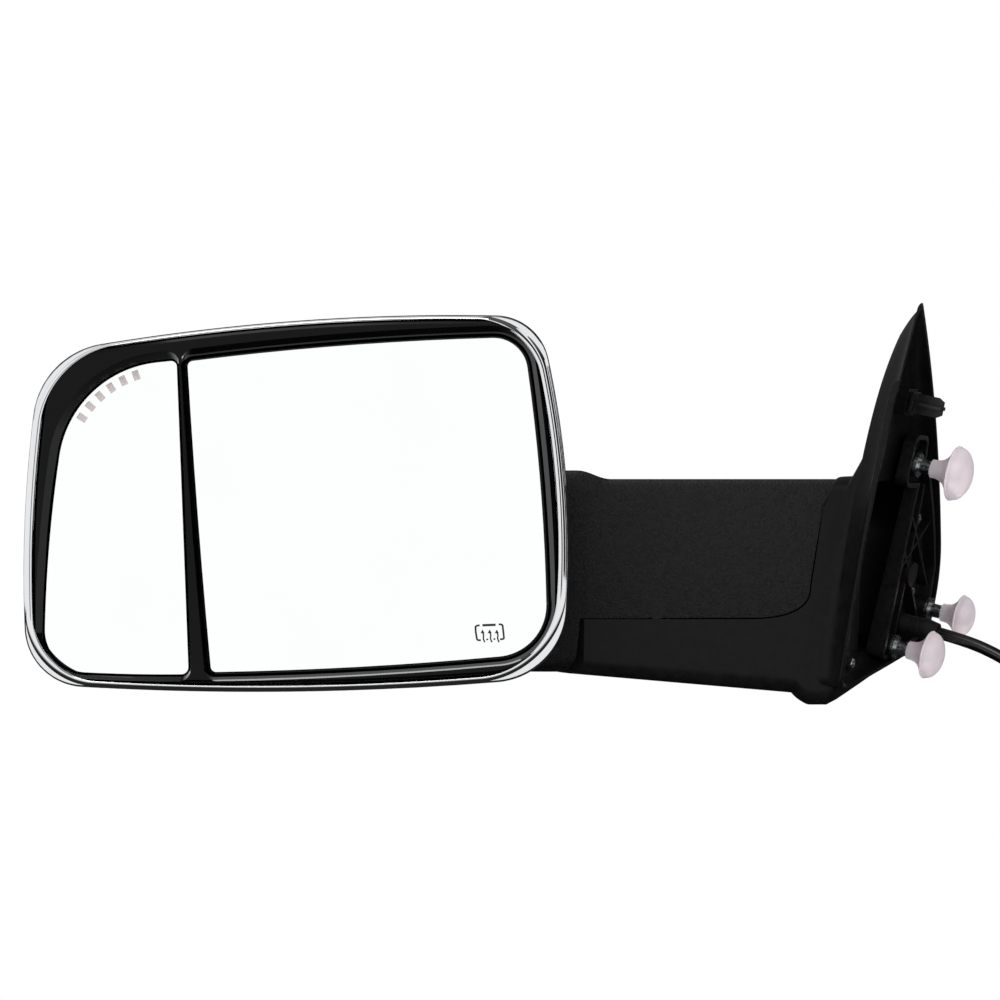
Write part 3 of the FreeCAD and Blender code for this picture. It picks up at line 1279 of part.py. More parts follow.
make_cap()
make_bezel()
make_head_housing()
make_main_glass()
make_heater_pad()
make_main_backing()
make_ring("main_pivot_ring", MAIN_PIVOT, size("main_ring_radius"))
make_drive()
make_jacks()
make_drive_plate()
make_spotter_glass()
make_spotter_backing()
make_ring("spotter_pivot_ring", SPOT_PIVOT, size("spotter_ring_radius"))
make_pedestal()
make_arm()
make_pivots()
make_base()
make_bracket()
make_bracket_screws()
make_locating_pin()
make_studs()
make_boot()
make_cable()
make_connector()
doc.recompute()
for item in doc.Objects:
    if "Invalid" in item.State or "Error" in item.State:
        raise RuntimeError("failed object: " + item.Label)
for node in nodes:
    if node.Shape.isNull() or not node.Shape.isValid():
        raise RuntimeError("bad shape: " + node.Label)
    print(node.Label, len(node.Shape.Solids), "%.0f" % node.Shape.Volume)
save()
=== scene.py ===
import json
import math

import bpy
import numpy as np
from bpy.props import FloatProperty, FloatVectorProperty, PointerProperty
from bpy.types import Operator, Panel, PropertyGroup
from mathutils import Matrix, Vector


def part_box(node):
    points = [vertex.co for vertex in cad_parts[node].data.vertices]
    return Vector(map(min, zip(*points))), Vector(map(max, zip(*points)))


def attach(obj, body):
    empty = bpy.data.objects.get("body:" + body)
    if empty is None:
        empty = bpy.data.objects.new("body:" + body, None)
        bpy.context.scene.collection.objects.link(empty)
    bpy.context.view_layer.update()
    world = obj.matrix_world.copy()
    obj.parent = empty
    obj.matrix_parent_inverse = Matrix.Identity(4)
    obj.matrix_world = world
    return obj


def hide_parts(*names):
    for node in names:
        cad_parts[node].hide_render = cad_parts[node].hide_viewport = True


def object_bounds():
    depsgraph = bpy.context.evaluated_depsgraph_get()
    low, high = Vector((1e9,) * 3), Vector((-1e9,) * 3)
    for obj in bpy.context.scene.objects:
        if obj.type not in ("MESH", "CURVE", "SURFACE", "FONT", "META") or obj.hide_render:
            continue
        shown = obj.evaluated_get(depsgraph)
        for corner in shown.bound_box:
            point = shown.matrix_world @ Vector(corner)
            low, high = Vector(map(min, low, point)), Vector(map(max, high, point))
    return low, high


bl_info = {
    "name": "Towing Side Mirror",
    "version": (1, 0, 0),
    "blender": (4, 5, 0),
    "location": "3D View > Sidebar > Side Mirror",
    "description": "Builds and dresses a folding, flip-up car side mirror around its packed frame",
    "category": "Object",
}

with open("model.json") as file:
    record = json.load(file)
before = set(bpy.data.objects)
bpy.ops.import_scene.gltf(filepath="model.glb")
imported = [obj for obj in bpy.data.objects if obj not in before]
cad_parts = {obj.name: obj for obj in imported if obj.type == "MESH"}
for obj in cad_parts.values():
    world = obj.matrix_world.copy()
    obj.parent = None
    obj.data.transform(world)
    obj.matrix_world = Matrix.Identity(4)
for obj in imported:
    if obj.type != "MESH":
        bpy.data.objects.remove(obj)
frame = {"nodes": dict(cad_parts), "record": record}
CAD_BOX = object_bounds()
MM = 0.001
CRISP_ANGLE = math.radians(32)

# Colours, nodes and meshes


def linear(hex_colour):
    """An sRGB hex value such as #1A1A1C as linear red, green and blue."""
    channels = [int(hex_colour[i:i + 2], 16) / 255 for i in (1, 3, 5)]
    return tuple(c / 12.92 if c <= 0.04045 else ((c + 0.055) / 1.055) ** 2.4 for c in channels)


def add_node(tree, kind, settings=None, sockets=None):
    """Adds a node with its settings; a socket's value is a constant, or another node's output to link."""
    node = tree.nodes.new(kind)
    for name, value in (settings or {}).items():
        setattr(node, name, value)
    for name, value in (sockets or {}).items():
        if isinstance(value, bpy.types.NodeSocket):
            tree.links.new(value, node.inputs[name])
        else:
            node.inputs[name].default_value = value
    return node


def noise(tree, at, size_mm, detail=2.0, roughness=0.5):
    """Lumps of a real size."""
    return add_node(tree, "ShaderNodeTexNoise", sockets={
        "Vector": at, "Scale": 1.0 / (size_mm * MM), "Detail": detail, "Roughness": roughness}).outputs["Fac"]


def map_range(tree, value, start, end, low, high):
    """A value carried from start and end to low and high, and held there beyond them."""
    return add_node(tree, "ShaderNodeMapRange", sockets={
        "Value": value, "From Min": start, "From Max": end, "To Min": low, "To Max": high}).outputs["Result"]


def math_node(tree, operation, *values):
    """What an operation makes of outputs or numbers."""
    return add_node(tree, "ShaderNodeMath", {"operation": operation}, dict(enumerate(values))).outputs[0]


def seen(tree, rays):
    """1 on rays from the camera, straight or through a clear piece."""
    return math_node(tree, "MAXIMUM", rays.outputs["Is Camera Ray"], rays.outputs["Is Transmission Ray"])


def new_mesh_object(name, grid, wrap_u=False, wrap_v=False, cap_u=False):
    """Object from a grid of points (rows u, columns v, xyz): quads between neighbours.

    wrap joins the last row or column to the first, and cap closes the first and last row with one
    polygon each.
    """
    rows, columns = grid.shape[:2]
    index = np.arange(rows * columns).reshape(rows, columns)
    u_index = np.vstack([index, index[:1]]) if wrap_u else index
    v_index = np.hstack([u_index, u_index[:, :1]]) if wrap_v else u_index
    quads = np.stack([v_index[:-1, :-1], v_index[1:, :-1], v_index[1:, 1:], v_index[:-1, 1:]], axis=-1)
    quads = quads.reshape(-1, 4)
    faces = quads.tolist()
    if cap_u:
        faces += [index[0].tolist(), index[-1, ::-1].tolist()]
    points = grid.reshape(-1, 3)
    a, b, c, d = (points[quads[:, i]] for i in range(4))
    if np.einsum("ij,ij->", a + c, np.cross(b - a, c - a) + np.cross(c - a, d - a)) < 0:
        faces = [face[::-1] for face in faces]
    mesh = bpy.data.meshes.new(name)
    mesh.from_pydata(points.tolist(), [], faces)
    mesh.update()
    smooth(mesh)
    piece = bpy.data.objects.new(name, mesh)
    bpy.context.scene.collection.objects.link(piece)
    return piece


def tube(name, rings):
    """Closed piece through closed rings of points, with both ends capped."""
    return new_mesh_object(name, np.stack(rings), wrap_v=True, cap_u=True)


def smooth(mesh):
    """Smooth shading that keeps the sharper edges crisp."""
    mesh.shade_smooth()
    mesh.set_sharp_from_angle(angle=CRISP_ANGLE)


def combine(piece, tool, operation):
    """Joins, cuts or keeps what a closed piece shares with another, which is used up."""
    change = piece.modifiers.new("combine", "BOOLEAN")
    change.operation, change.solver, change.object = operation, "MANIFOLD", tool
    bpy.context.view_layer.update()
    graph = bpy.context.evaluated_depsgraph_get()
    mesh = bpy.data.meshes.new_from_object(piece.evaluated_get(graph), depsgraph=graph)
    if not mesh.polygons:
        raise RuntimeError(piece.name + " came out empty when combined with " + tool.name)
    piece.modifiers.clear()
    piece.data = mesh
    bpy.data.objects.remove(tool)
    smooth(mesh)
    return piece


def join_as(name, pieces):
    """One object from several, with the first one's material."""
    with bpy.context.temp_override(active_object=pieces[0], selected_editable_objects=pieces):
        bpy.ops.object.join()
    pieces[0].name = name
    pieces[0].data.name = name
    return pieces[0]


def dress(piece, slot, body, *replaced):
    """Gives a piece its finish, the body it moves with and the nodes it stands for."""
    piece.data.materials.clear()
    piece.data.materials.append(MATERIALS[slot])
    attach(piece, body)
    if replaced:
        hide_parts(*replaced)
    return piece


# Finishes

MATERIALS = {}
SHADER_SOCKETS = {"metallic": "Metallic", "ior": "IOR", "specular": "Specular IOR Level",
                  "transmission": "Transmission Weight", "subsurface": "Subsurface Weight",
                  "subsurface_scale": "Subsurface Scale"}
TONE_SPAN = (0.3, 0.7)
BEVEL_SAMPLES = 4


def finish(slot, name, base, shade, lump_mm, rough, edge_mm=0.0, relief=None, grain=None, **shader):
    """A material for a slot: two close tones in lumps of a real size, and a roughness that drifts with them.

    edge_mm rounds the look of its sharp edges. relief is how deep in mm and how strongly its lumps stand
    out, or those of a grain with a size in mm, a detail and a roughness of its own.
    """
    material = bpy.data.materials.new(name)
    material.use_nodes = True
    tree = material.node_tree
    tree.nodes.clear()
    output = add_node(tree, "ShaderNodeOutputMaterial")
    bsdf = add_node(tree, "ShaderNodeBsdfPrincipled", sockets={
        SHADER_SOCKETS[setting]: value for setting, value in shader.items()})
    tree.links.new(bsdf.outputs["BSDF"], output.inputs["Surface"])
    at = add_node(tree, "ShaderNodeTexCoord").outputs["Object"]
    lumps = noise(tree, at, lump_mm)
    tones = add_node(tree, "ShaderNodeValToRGB", sockets={"Fac": lumps})
    for element, place, change in zip(tones.color_ramp.elements, TONE_SPAN, (-shade, shade)):
        element.position = place
        element.color = tuple(min(c * (1 + change), 1) for c in base) + (1,)
    tree.links.new(tones.outputs["Color"], bsdf.inputs["Base Color"])
    tree.links.new(map_range(tree, lumps, *TONE_SPAN, *rough), bsdf.inputs["Roughness"])
    if edge_mm:
        edges = add_node(tree, "ShaderNodeBevel", {"samples": BEVEL_SAMPLES}, {"Radius": edge_mm * MM})
        if relief:
            edges = add_node(tree, "ShaderNodeBump", sockets={
                "Height": noise(tree, at, *grain) if grain else lumps, "Distance": relief[0] * MM,
                "Strength": relief[1], "Normal": edges.outputs["Normal"]})
        tree.links.new(edges.outputs["Normal"], bsdf.inputs["Normal"])
    MATERIALS[slot] = material


def make_finishes(colours):
    """Every finish, each named for what the real part is made of and how its surface was made."""
    # Chromium plate on moulded ABS: a clear mirror that is very slightly wavy, as plated mouldings are.
    finish("chrome", "chrome_plated_abs", colours.chrome, 0.015, 40.0, (0.035, 0.06), metallic=1.0)
    # High-gloss moulded ABS: a deep black with sharp reflections under a thin clear skin.
    finish("bezel_black", "gloss_black_abs", colours.gloss_black, 0.2, 25.0, (0.05, 0.09), edge_mm=0.35,
           ior=1.5, specular=0.12)
    # Grained polypropylene from a spark-eroded tool: a soft dark sheen that breaks up on the grain. The real
    # grain is about 0.3 mm, too fine to show, so it is drawn about 1 mm wide.
    finish("black_plastic", "grained_black_polypropylene", colours.black_plastic, 0.25, 6.0, (0.36, 0.46),
           edge_mm=0.5, relief=(0.12, 0.4), grain=(1.0, 2.0, 0.6), ior=1.49, specular=0.13)
    # The arm's cover has a deeper grain that glints where the light grazes it.
    finish("arm_grain", "coarse_grained_polypropylene", colours.black_plastic, 0.3, 5.0, (0.24, 0.32),
           edge_mm=0.5, relief=(0.9, 1.0), grain=(1.5, 3.0, 0.7), ior=1.49, specular=0.22)
    # Glass-filled nylon: satin black with a faint mottled skin from the fibres.
    finish("carrier_plastic", "glass_filled_nylon", colours.carrier_black, 0.3, 3.0, (0.3, 0.45),
           edge_mm=0.4, relief=(0.05, 0.5), ior=1.53, specular=0.4)
    # Silvering on glass: nearly white, nearly perfect.
    finish("mirror_glass", "silvered_glass", colours.mirror, 0.004, 60.0, (0.008, 0.012), metallic=1.0)
    # Printed carbon heating film: warm dark grey and matt.
    finish("heater_film", "carbon_heating_film", colours.heater, 0.2, 4.0, (0.5, 0.6))
    # Zinc plate on turned steel: pale and bluish, with a fine crystalline mottle.
    finish("zinc", "zinc_plated_steel", colours.zinc, 0.08, 2.5, (0.2, 0.34), edge_mm=0.2,
           relief=(0.02, 0.4), metallic=1.0)
    # Turned steel is bright, and oiled spring steel darker and duller, inside the pivots.
    finish("steel", "turned_steel", colours.steel, 0.06, 2.0, (0.25, 0.35), metallic=1.0)
    finish("spring_steel", "oiled_spring_steel", colours.spring_steel, 0.12, 2.0, (0.28, 0.42), metallic=1.0)
    # Natural nylon: creamy and a little translucent.
    finish("nylon", "natural_nylon", colours.nylon, 0.04, 5.0, (0.38, 0.46), ior=1.53, subsurface=0.15)
    # Soft polyethylene shipping caps: milky and pinkish, the barrel shows through the thin cone.
    finish("cap_plastic", "soft_translucent_polyethylene", colours.caps, 0.015, 8.0, (0.3, 0.4), ior=1.3,
           specular=0.3, transmission=0.35, subsurface=0.25, subsurface_scale=4 * MM)
    # Moulded rubber boot: soft matt black.
    finish("rubber_black", "moulded_rubber", colours.rubber, 0.25, 2.0, (0.55, 0.7), edge_mm=0.3,
           relief=(0.06, 0.5), specular=0.3)
    # Extruded soft PVC jacket: glossy, with faint long ripples from the die.
    finish("cable_jacket", "extruded_pvc_jacket", colours.cable, 0.2, 14.0, (0.16, 0.26), edge_mm=0.3,
           relief=(0.15, 0.5), ior=1.53, specular=0.45)
    # Connector: a satin polyester shell, bright tinned pins, a green lamp board and an orange silicone seal.
    finish("connector_black", "moulded_polyester", colours.connector, 0.2, 2.5, (0.32, 0.45), edge_mm=0.3,
           relief=(0.04, 0.5))
    finish("terminal_brass", "tinned_brass", colours.brass, 0.06, 1.5, (0.2, 0.3), metallic=1.0)
    finish("board_green", "solder_mask", colours.board, 0.1, 4.0, (0.22, 0.32))
    finish("seal_orange", "silicone_rubber", colours.seal, 0.06, 3.0, (0.4, 0.5), subsurface=0.1)
    # Fired enamel marking on the glass, and the frosted windows over the signal lamps: both matt.
    finish("mark_black", "fired_black_enamel", colours.mark, 0.1, 1.5, (0.3, 0.4))
    finish("lamp_grey", "etched_lamp_window", colours.lamp_window, 0.04, 1.5, (0.4, 0.5))


# Cable

CABLE_POINTS = [(-0.01247, 0.01595, -0.03098), (0.0282, -0.00216, -0.04037), (0.06, -0.018, -0.0548),
                (0.086, -0.032, -0.076), (0.1, -0.042, -0.114), (0.103, -0.046, -0.16),
                (0.1, -0.05, -0.21), (0.094, -0.05, -0.258)]


def make_cable(sizes):
    """A smooth spline through the cable's bends, as a round jacket."""
    curve = bpy.data.curves.new("cable_jacket", "CURVE")
    curve.dimensions = "3D"
    spline = curve.splines.new("NURBS")
    spline.points.add(len(CABLE_POINTS) - 1)
    for point, position in zip(spline.points, CABLE_POINTS):
        point.co = (*position, 1.0)
    spline.order_u = 3
    spline.use_endpoint_u = True
    spline.resolution_u = 16
    curve.bevel_depth = sizes.cable_diameter / 2
    curve.bevel_resolution = 8
    curve.use_fill_caps = True
    cable = bpy.data.objects.new("cable_jacket", curve)
    bpy.context.scene.collection.objects.link(cable)
    dress(cable, "cable_jacket", "base", "cable")
    return cable


# Base moulding: sail, trunk and shelf

DOOR_INWARD = np.array([0.8938808, -0.3979814, -0.2063686])
DOOR_UP = np.array([0.1885271, -0.0839377, 0.9784743])
DOOR_FORWARD = np.array([0.4067366, 0.9135455, 0.0])
JOINTS = {joint["name"]: np.array(joint["pos_m"]) for joint in frame["record"]["behaviour"]["joints"]}
SEATS = {mount["name"]: np.array(mount["pos_m"]) for mount in frame["record"]["mounts"]}
FOLD = JOINTS["fold"]
ARM_LOW = np.array(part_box("arm_housing")[0])
FAR = 0.2
ON_AXIS = 1e-5

SAIL_CORNERS = np.array([(-98.0, -76.0), (55.8, -47.0), (54.8, 4.0), (-94.0, 184.3)]) * MM
SAIL_BOWS = np.array([0.6, 1.0, 8.5, 11.5]) * MM
SAIL_ROUNDS = np.array([8.0, 20.0, 60.0, 4.0]) * MM
SAIL_LEAST_ROUND = 3.0 * MM
PIN_PLACE = np.array([-66.0, 113.5]) * MM
SHELF_BEYOND = 85.0 * MM
CHIN_FROM_FOLD, CHIN_RUN = 93.6 * MM, 10.0 * MM
TRUNK_END, TRUNK_RISE, TRUNK_SPREAD = 10.0 * MM, 38.0 * MM, (3.0 * MM, 8.0 * MM)
TRUNK_LEAST_ROUND = 4.0 * MM
FLARE_PLANES = np.linspace(-36.0, 0.4, 40) * MM
FLARE_START, FLARE_RUN, FLARE_BEYOND = -27.0 * MM, 26.5 * MM, 1.1
CLIMB_START, CLIMB_RUN, CLIMB_SHARE = -27.5 * MM, 19.7 * MM, 0.6
END_ROUND, END_ROUND_UP, END_ROUND_POWER = 34.0 * MM, 20.0 * MM, 0.85
END_LEAN, END_LEAN_UP, END_ABOVE = 7.0 * MM, 70.0 * MM, 18.0 * MM


def crossed(a, b):
    """Cross product of rows of flat vectors."""
    return a[..., 0] * b[..., 1] - a[..., 1] * b[..., 0]


def ramp(x, start, run):
    """Share of a run that lies behind x, from 0 at its start to 1 at its end."""
    return np.clip((x - start) / run, 0, 1)


def rectangle(left, low, right, high):
    """Corners of an upright rectangle, anticlockwise."""
    return np.array([(left, low), (right, low), (right, high), (left, high)])


def drawn_in(corners, insets):
    """An outline's corners when each side lies further in by its inset: where the moved sides meet."""
    along = np.roll(corners, -1, axis=0) - corners
    inward = np.stack([-along[:, 1], along[:, 0]], axis=1) / np.linalg.norm(along, axis=1)[:, None]
    moved = corners + inward * np.broadcast_to(insets, len(corners))[:, None]
    before, side_before = np.roll(moved, 1, axis=0), np.roll(along, 1, axis=0)
    return before + side_before * (crossed(moved - before, along) / crossed(side_before, along))[:, None]


def outline(corners, bows, rounds, per_side=56, per_corner=16):
    """Closed outline, anticlockwise: each side stands out as a parabola, and each corner is a round arc
    between the tangents of its two sides, a quadratic curve weighted by the sine of half its angle."""
    along = np.roll(corners, -1, axis=0) - corners
    length = np.linalg.norm(along, axis=1, keepdims=True)
    outward = np.stack([along[:, 1], -along[:, 0]], axis=1) / length
    back = -np.roll(along / length, 1, axis=0)
    half = np.arccos(np.clip((back * along / length).sum(axis=1), -1, 1)) / 2
    reach = np.asarray(rounds) / np.tan(half)
    bow = np.asarray(bows)[:, None]
    first, last = reach[:, None] / length, 1 - np.roll(reach, -1)[:, None] / length
    t = first + (last - first) * np.linspace(0, 1, per_side)
    side = corners[:, None] + along[:, None] * t[..., None]
    side = side + outward[:, None] * (4 * bow * t * (1 - t))[..., None]
    into = along + outward * 4 * bow * (1 - 2 * last)
    out = np.roll(along + outward * 4 * bow * (1 - 2 * first), -1, axis=0)
    a, b = side[:, -1], np.roll(side[:, 0], -1, axis=0)
    control = a + into * (crossed(b - a, out) / crossed(into, out))[:, None]
    s = np.linspace(0, 1, per_corner + 2)[1:-1][None, :, None]
    pull = 2 * s * (1 - s) * np.roll(np.sin(half), -1)[:, None, None]
    corner = (1 - s) ** 2 * a[:, None] + pull * control[:, None] + s ** 2 * b[:, None]
    corner = corner / ((1 - s) ** 2 + pull + s ** 2)
    return np.concatenate([side, corner], axis=1).reshape(-1, 2)


def on_door(flat, height):
    """Points (forward, up) on the door's plane, raised towards the car by a height."""
    return flat[:, :1] * DOOR_FORWARD + flat[:, 1:] * DOOR_UP + height * DOOR_INWARD


def sail_outline(insets, sweep, sizes):
    """The sail's outline; sweep draws its rear edge in, more at the foot than at the top."""
    corners = SAIL_CORNERS.copy()
    foot = (corners[1, 1] - corners[0, 1]) / (corners[1, 0] - corners[0, 0])
    slant = (corners[2, 1] - corners[3, 1]) / (corners[2, 0] - corners[3, 0])
    corners[0] += np.array([1, foot]) * sizes.sail_sweep_low * sweep
    corners[3] += np.array([1, slant]) * sizes.sail_sweep_top * sweep
    rounds = np.maximum(SAIL_ROUNDS - insets, SAIL_LEAST_ROUND)
    return outline(drawn_in(corners, insets), SAIL_BOWS, rounds)


def sail_block(name, wall, lift, above, sizes):
    """Dish of the sail, from the door's plane back to its floor.

    At a share s of the depth the outline lies in by 0.4 s + 6.2 s^5 mm, and its rear edge has swept in
    by s to the power 0.6 of the whole sweep, so the rear flank is hollow. The depth fades to 7% at the
    tip by the fifth power of the height, and is never under 0.4 mm.
    """
    rows = []
    for share in np.concatenate([[-above], np.linspace(0, 1, 26) ** 1.4]):
        s = max(share, 0.0)
        inset = (0.4 * s + 6.2 * s ** 5) * MM + wall
        flat = sail_outline(np.array([inset, inset, inset, wall]), s ** 0.6, sizes)
        fade = np.clip(flat[:, 1:] / SAIL_CORNERS[3, 1], 0, 1) ** 5
        depth = np.maximum(sizes.sail_depth * (1 - 0.93 * fade) - lift, 0.4 * MM)
        rows.append(on_door(flat, -depth * share if share >= 0 else above))
    return tube(name, rows)


def prism(name, flat, low, high, place):
    """A closed outline carried straight from one height to another."""
    return tube(name, [place(flat, low), place(flat, high)])


def level(flat, height):
    """Points (x, y) at a height."""
    return np.column_stack([flat, np.full(len(flat), height)])


def upright(flat, depth):
    """Points (x, z) at a depth."""
    return np.column_stack([flat[:, 0], np.full(len(flat), depth), flat[:, 1]])


def section(flat, place):
    """Points (y, z) at a place along X."""
    return np.column_stack([np.full(len(flat), place), flat])


def trunk_block(name, wall, start, sizes):
    """Rounded block along X. Its underside slopes gently below the arm, drops in a chin by a sine to the
    power 0.9, and then rises evenly to the sail, while its far forward top corner grows rounder."""
    rear, forward = ARM_LOW[1], ARM_LOW[1] + sizes.arm_depth
    chin = FOLD[0] + CHIN_FROM_FOLD
    ridge = FOLD[0] + sizes.end_low_radius + 0.6 * MM
    x = np.unique(np.concatenate([np.linspace(FOLD[0] - SHELF_BEYOND, chin, 12),
                                  np.linspace(chin, ridge, 22), np.linspace(ridge, TRUNK_END, 26)]))
    x = x[x >= start]
    under = sizes.shelf_low - sizes.shelf_slope * (x - FOLD[0] + sizes.shelf_radius)
    drop = np.sin(ramp(x, chin, CHIN_RUN) * math.pi / 2) ** 0.9
    ways = ramp(x, ridge, TRUNK_END - ridge)
    under = under + (sizes.trunk_low - 0.5 * MM - under) * drop + ways * TRUNK_RISE
    back = max(sizes.trunk_rear_round - wall, TRUNK_LEAST_ROUND)
    front = max(sizes.trunk_forward_round - wall, TRUNK_LEAST_ROUND)
    rows = []
    for place, floor, way in zip(x, under, ways):
        roof = sizes.arm_top - wall + (min(way * 40, 1) + 2 * way) * MM
        corners = rectangle(rear + wall + TRUNK_SPREAD[0] * way, floor + wall,
                            forward - wall + TRUNK_SPREAD[1] * way, roof)
        bow = (0.3 + 1.2 * way) * MM
        rounds = [back, front, front + sizes.trunk_slant_round * way, back]
        rows.append(section(outline(corners, [bow] * 4, rounds, 24, 10), place))
    return tube(name, rows)


def rear_rim(up):
    """Place of the sail's rear rim along the door, at a height in the door's plane."""
    low, top = SAIL_CORNERS[0], SAIL_CORNERS[3]
    share = (up - low[1]) / (top[1] - low[1])
    return low[0] + (top[0] - low[0]) * share - SAIL_BOWS[3] * 4 * share * (1 - share)


def flare_block(name, sizes):
    """Hollow foot where the trunk spreads into the sail: the trunk's outline on planes beside the door's,
    whose rear edge goes out to the sail's rim by the power 1.8 of the way."""
    box = rectangle(ARM_LOW[1] + 0.4 * MM, sizes.trunk_low + 8 * MM,
                    ARM_LOW[1] + sizes.arm_depth + 2 * MM, sizes.arm_top + 0.5 * MM)
    at_rear = np.array([True, False, False, True])
    back = sizes.trunk_rear_round
    rows = []
    for height in FLARE_PLANES:
        way = np.clip((height - FLARE_START) / FLARE_RUN, 0, FLARE_BEYOND)
        share = FLARE_BEYOND * way ** 1.8
        upward = CLIMB_SHARE * ramp(height, CLIMB_START, CLIMB_RUN)
        x = (height - box[:, 0] * DOOR_INWARD[1] - box[:, 1] * DOOR_INWARD[2]) / DOOR_INWARD[0]
        corners = np.column_stack([x, box]) @ np.stack([DOOR_FORWARD, DOOR_UP], axis=1)
        corners[at_rear, 0] += (rear_rim(corners[at_rear, 1]) - corners[at_rear, 0]) * share
        front = sizes.trunk_forward_round + sizes.flare_forward * share
        spread = [sizes.flare_low * share, sizes.flare_forward * share, sizes.flare_top * upward, 0.0]
        bows = np.array([0.6, 0.6, 0.6, 0.6 + 2.2 * share]) * MM
        flat = outline(drawn_in(corners, -np.array(spread)), bows, [back, front, front, back])
        rows.append(on_door(flat, height))
    flare = tube(name, rows)
    within = prism("flare_limit", sail_outline(np.full(4, 0.3 * MM), 0.0, sizes), -90 * MM, 0.0, on_door)
    return combine(flare, within, "INTERSECT")


def arm_end_space(name, grow, low, sizes):
    """Room for the arm's end, turned about the fold pivot: a flat floor, a corner on a quarter of a
    superellipse, and a wall that leans out."""
    radius, roof = sizes.end_low_radius + grow, sizes.arm_top + END_ABOVE
    turn = np.linspace(0, math.pi / 2, 20)
    corner = np.stack([radius - END_ROUND + END_ROUND * np.sin(turn) ** END_ROUND_POWER,
                       low + END_ROUND_UP * (1 - np.cos(turn) ** END_ROUND_POWER)], axis=1)
    above = np.array([[radius + END_LEAN, low + END_LEAN_UP], [sizes.end_top_radius + grow, roof]])
    profile = np.vstack([[[ON_AXIS, low]], corner, above, [[ON_AXIS, roof]]])
    place = np.array([FOLD[0], FOLD[1], 0.0])
    return revolve(name, profile, place, np.array([0, 0, 1.0]), np.array([1.0, 0, 0]), 240)


def make_base(sizes):
    """The base moulding as one shell: trunk and shelf, flare and sail joined, the arm's room and the
    hollow cut out, and the locating pin's boss put in."""
    depth, wide = sizes.sail_depth, FAR * 1.25
    base = trunk_block("base_moulding", 0.0, -1.0, sizes)
    turn = np.linspace(math.pi / 2, 3 * math.pi / 2, 90)
    arc = FOLD[:2] + sizes.shelf_radius * np.stack([np.cos(turn), np.sin(turn)], axis=1)
    half = (sizes.arm_depth / 2 + 1 * MM) * 1.6
    inboard = rectangle(FOLD[0], FOLD[1] - half, 60 * MM, FOLD[1] + half)
    foot = np.vstack([inboard[2:], arc, inboard[:2]])
    combine(base, prism("shelf_limit", foot, -FAR, FAR, level), "INTERSECT")
    combine(base, prism("car_side", rectangle(-FAR, -wide, wide, wide), -depth * 0.5, FAR / 2, on_door),
            "DIFFERENCE")
    combine(base, flare_block("flare", sizes), "UNION")
    combine(base, sail_block("sail", 0.0, 0.0, 0.0, sizes), "UNION")
    combine(base, arm_end_space("arm_room", 0.0, FOLD[2], sizes), "DIFFERENCE")
    hollow = trunk_block("hollow", sizes.base_wall, FOLD[0] + sizes.end_top_radius + 2 * MM, sizes)
    rim = np.array([10 * MM] + [sizes.sail_wall] * 3)
    rim = sail_outline(rim, 0.6, sizes)
    combine(hollow, prism("rim_limit", rim, -90 * MM, 2 * MM, on_door), "INTERSECT")
    combine(base, hollow, "DIFFERENCE")
    combine(base, sail_block("dish", sizes.sail_wall, sizes.base_wall * 0.8, 0.3, sizes), "DIFFERENCE")
    side = sizes.pin_boss / 2
    square = PIN_PLACE + rectangle(-side, -side, side, side)
    boss = prism("pin_boss", square, -depth + 1 * MM, -2 * MM, on_door)
    inside = sail_outline(np.full(4, 1.2 * MM), 0.3, sizes)
    combine(boss, prism("boss_limit", inside, -depth + 0.5 * MM, 10 * MM, on_door), "INTERSECT")
    combine(base, boss, "UNION")
    return dress(base, "black_plastic", "base", "base_housing")


# Arm cover. Places are distances outboard of the fold pivot.

ARM_STEP = 2.2 * MM
HUMP_START, HUMP_RUN = 24.0 * MM, 22.0 * MM
HUMP_FALL, HUMP_FALL_START, HUMP_FALL_RUN = 0.8 * MM, 50.0 * MM, 50.0 * MM
LIFT_START = 66.0 * MM
TAPER, TAPER_START, TAPER_RUN = 48.0 * MM, 30.0 * MM, 155.0 * MM
ARM_BOW_FULL, ARM_FRONT_ROUND, ROUND_SHARE = 100.0 * MM, 8.0 * MM, 0.42
ALMOST_HUB, ALMOST_END = 0.9995, 0.9998


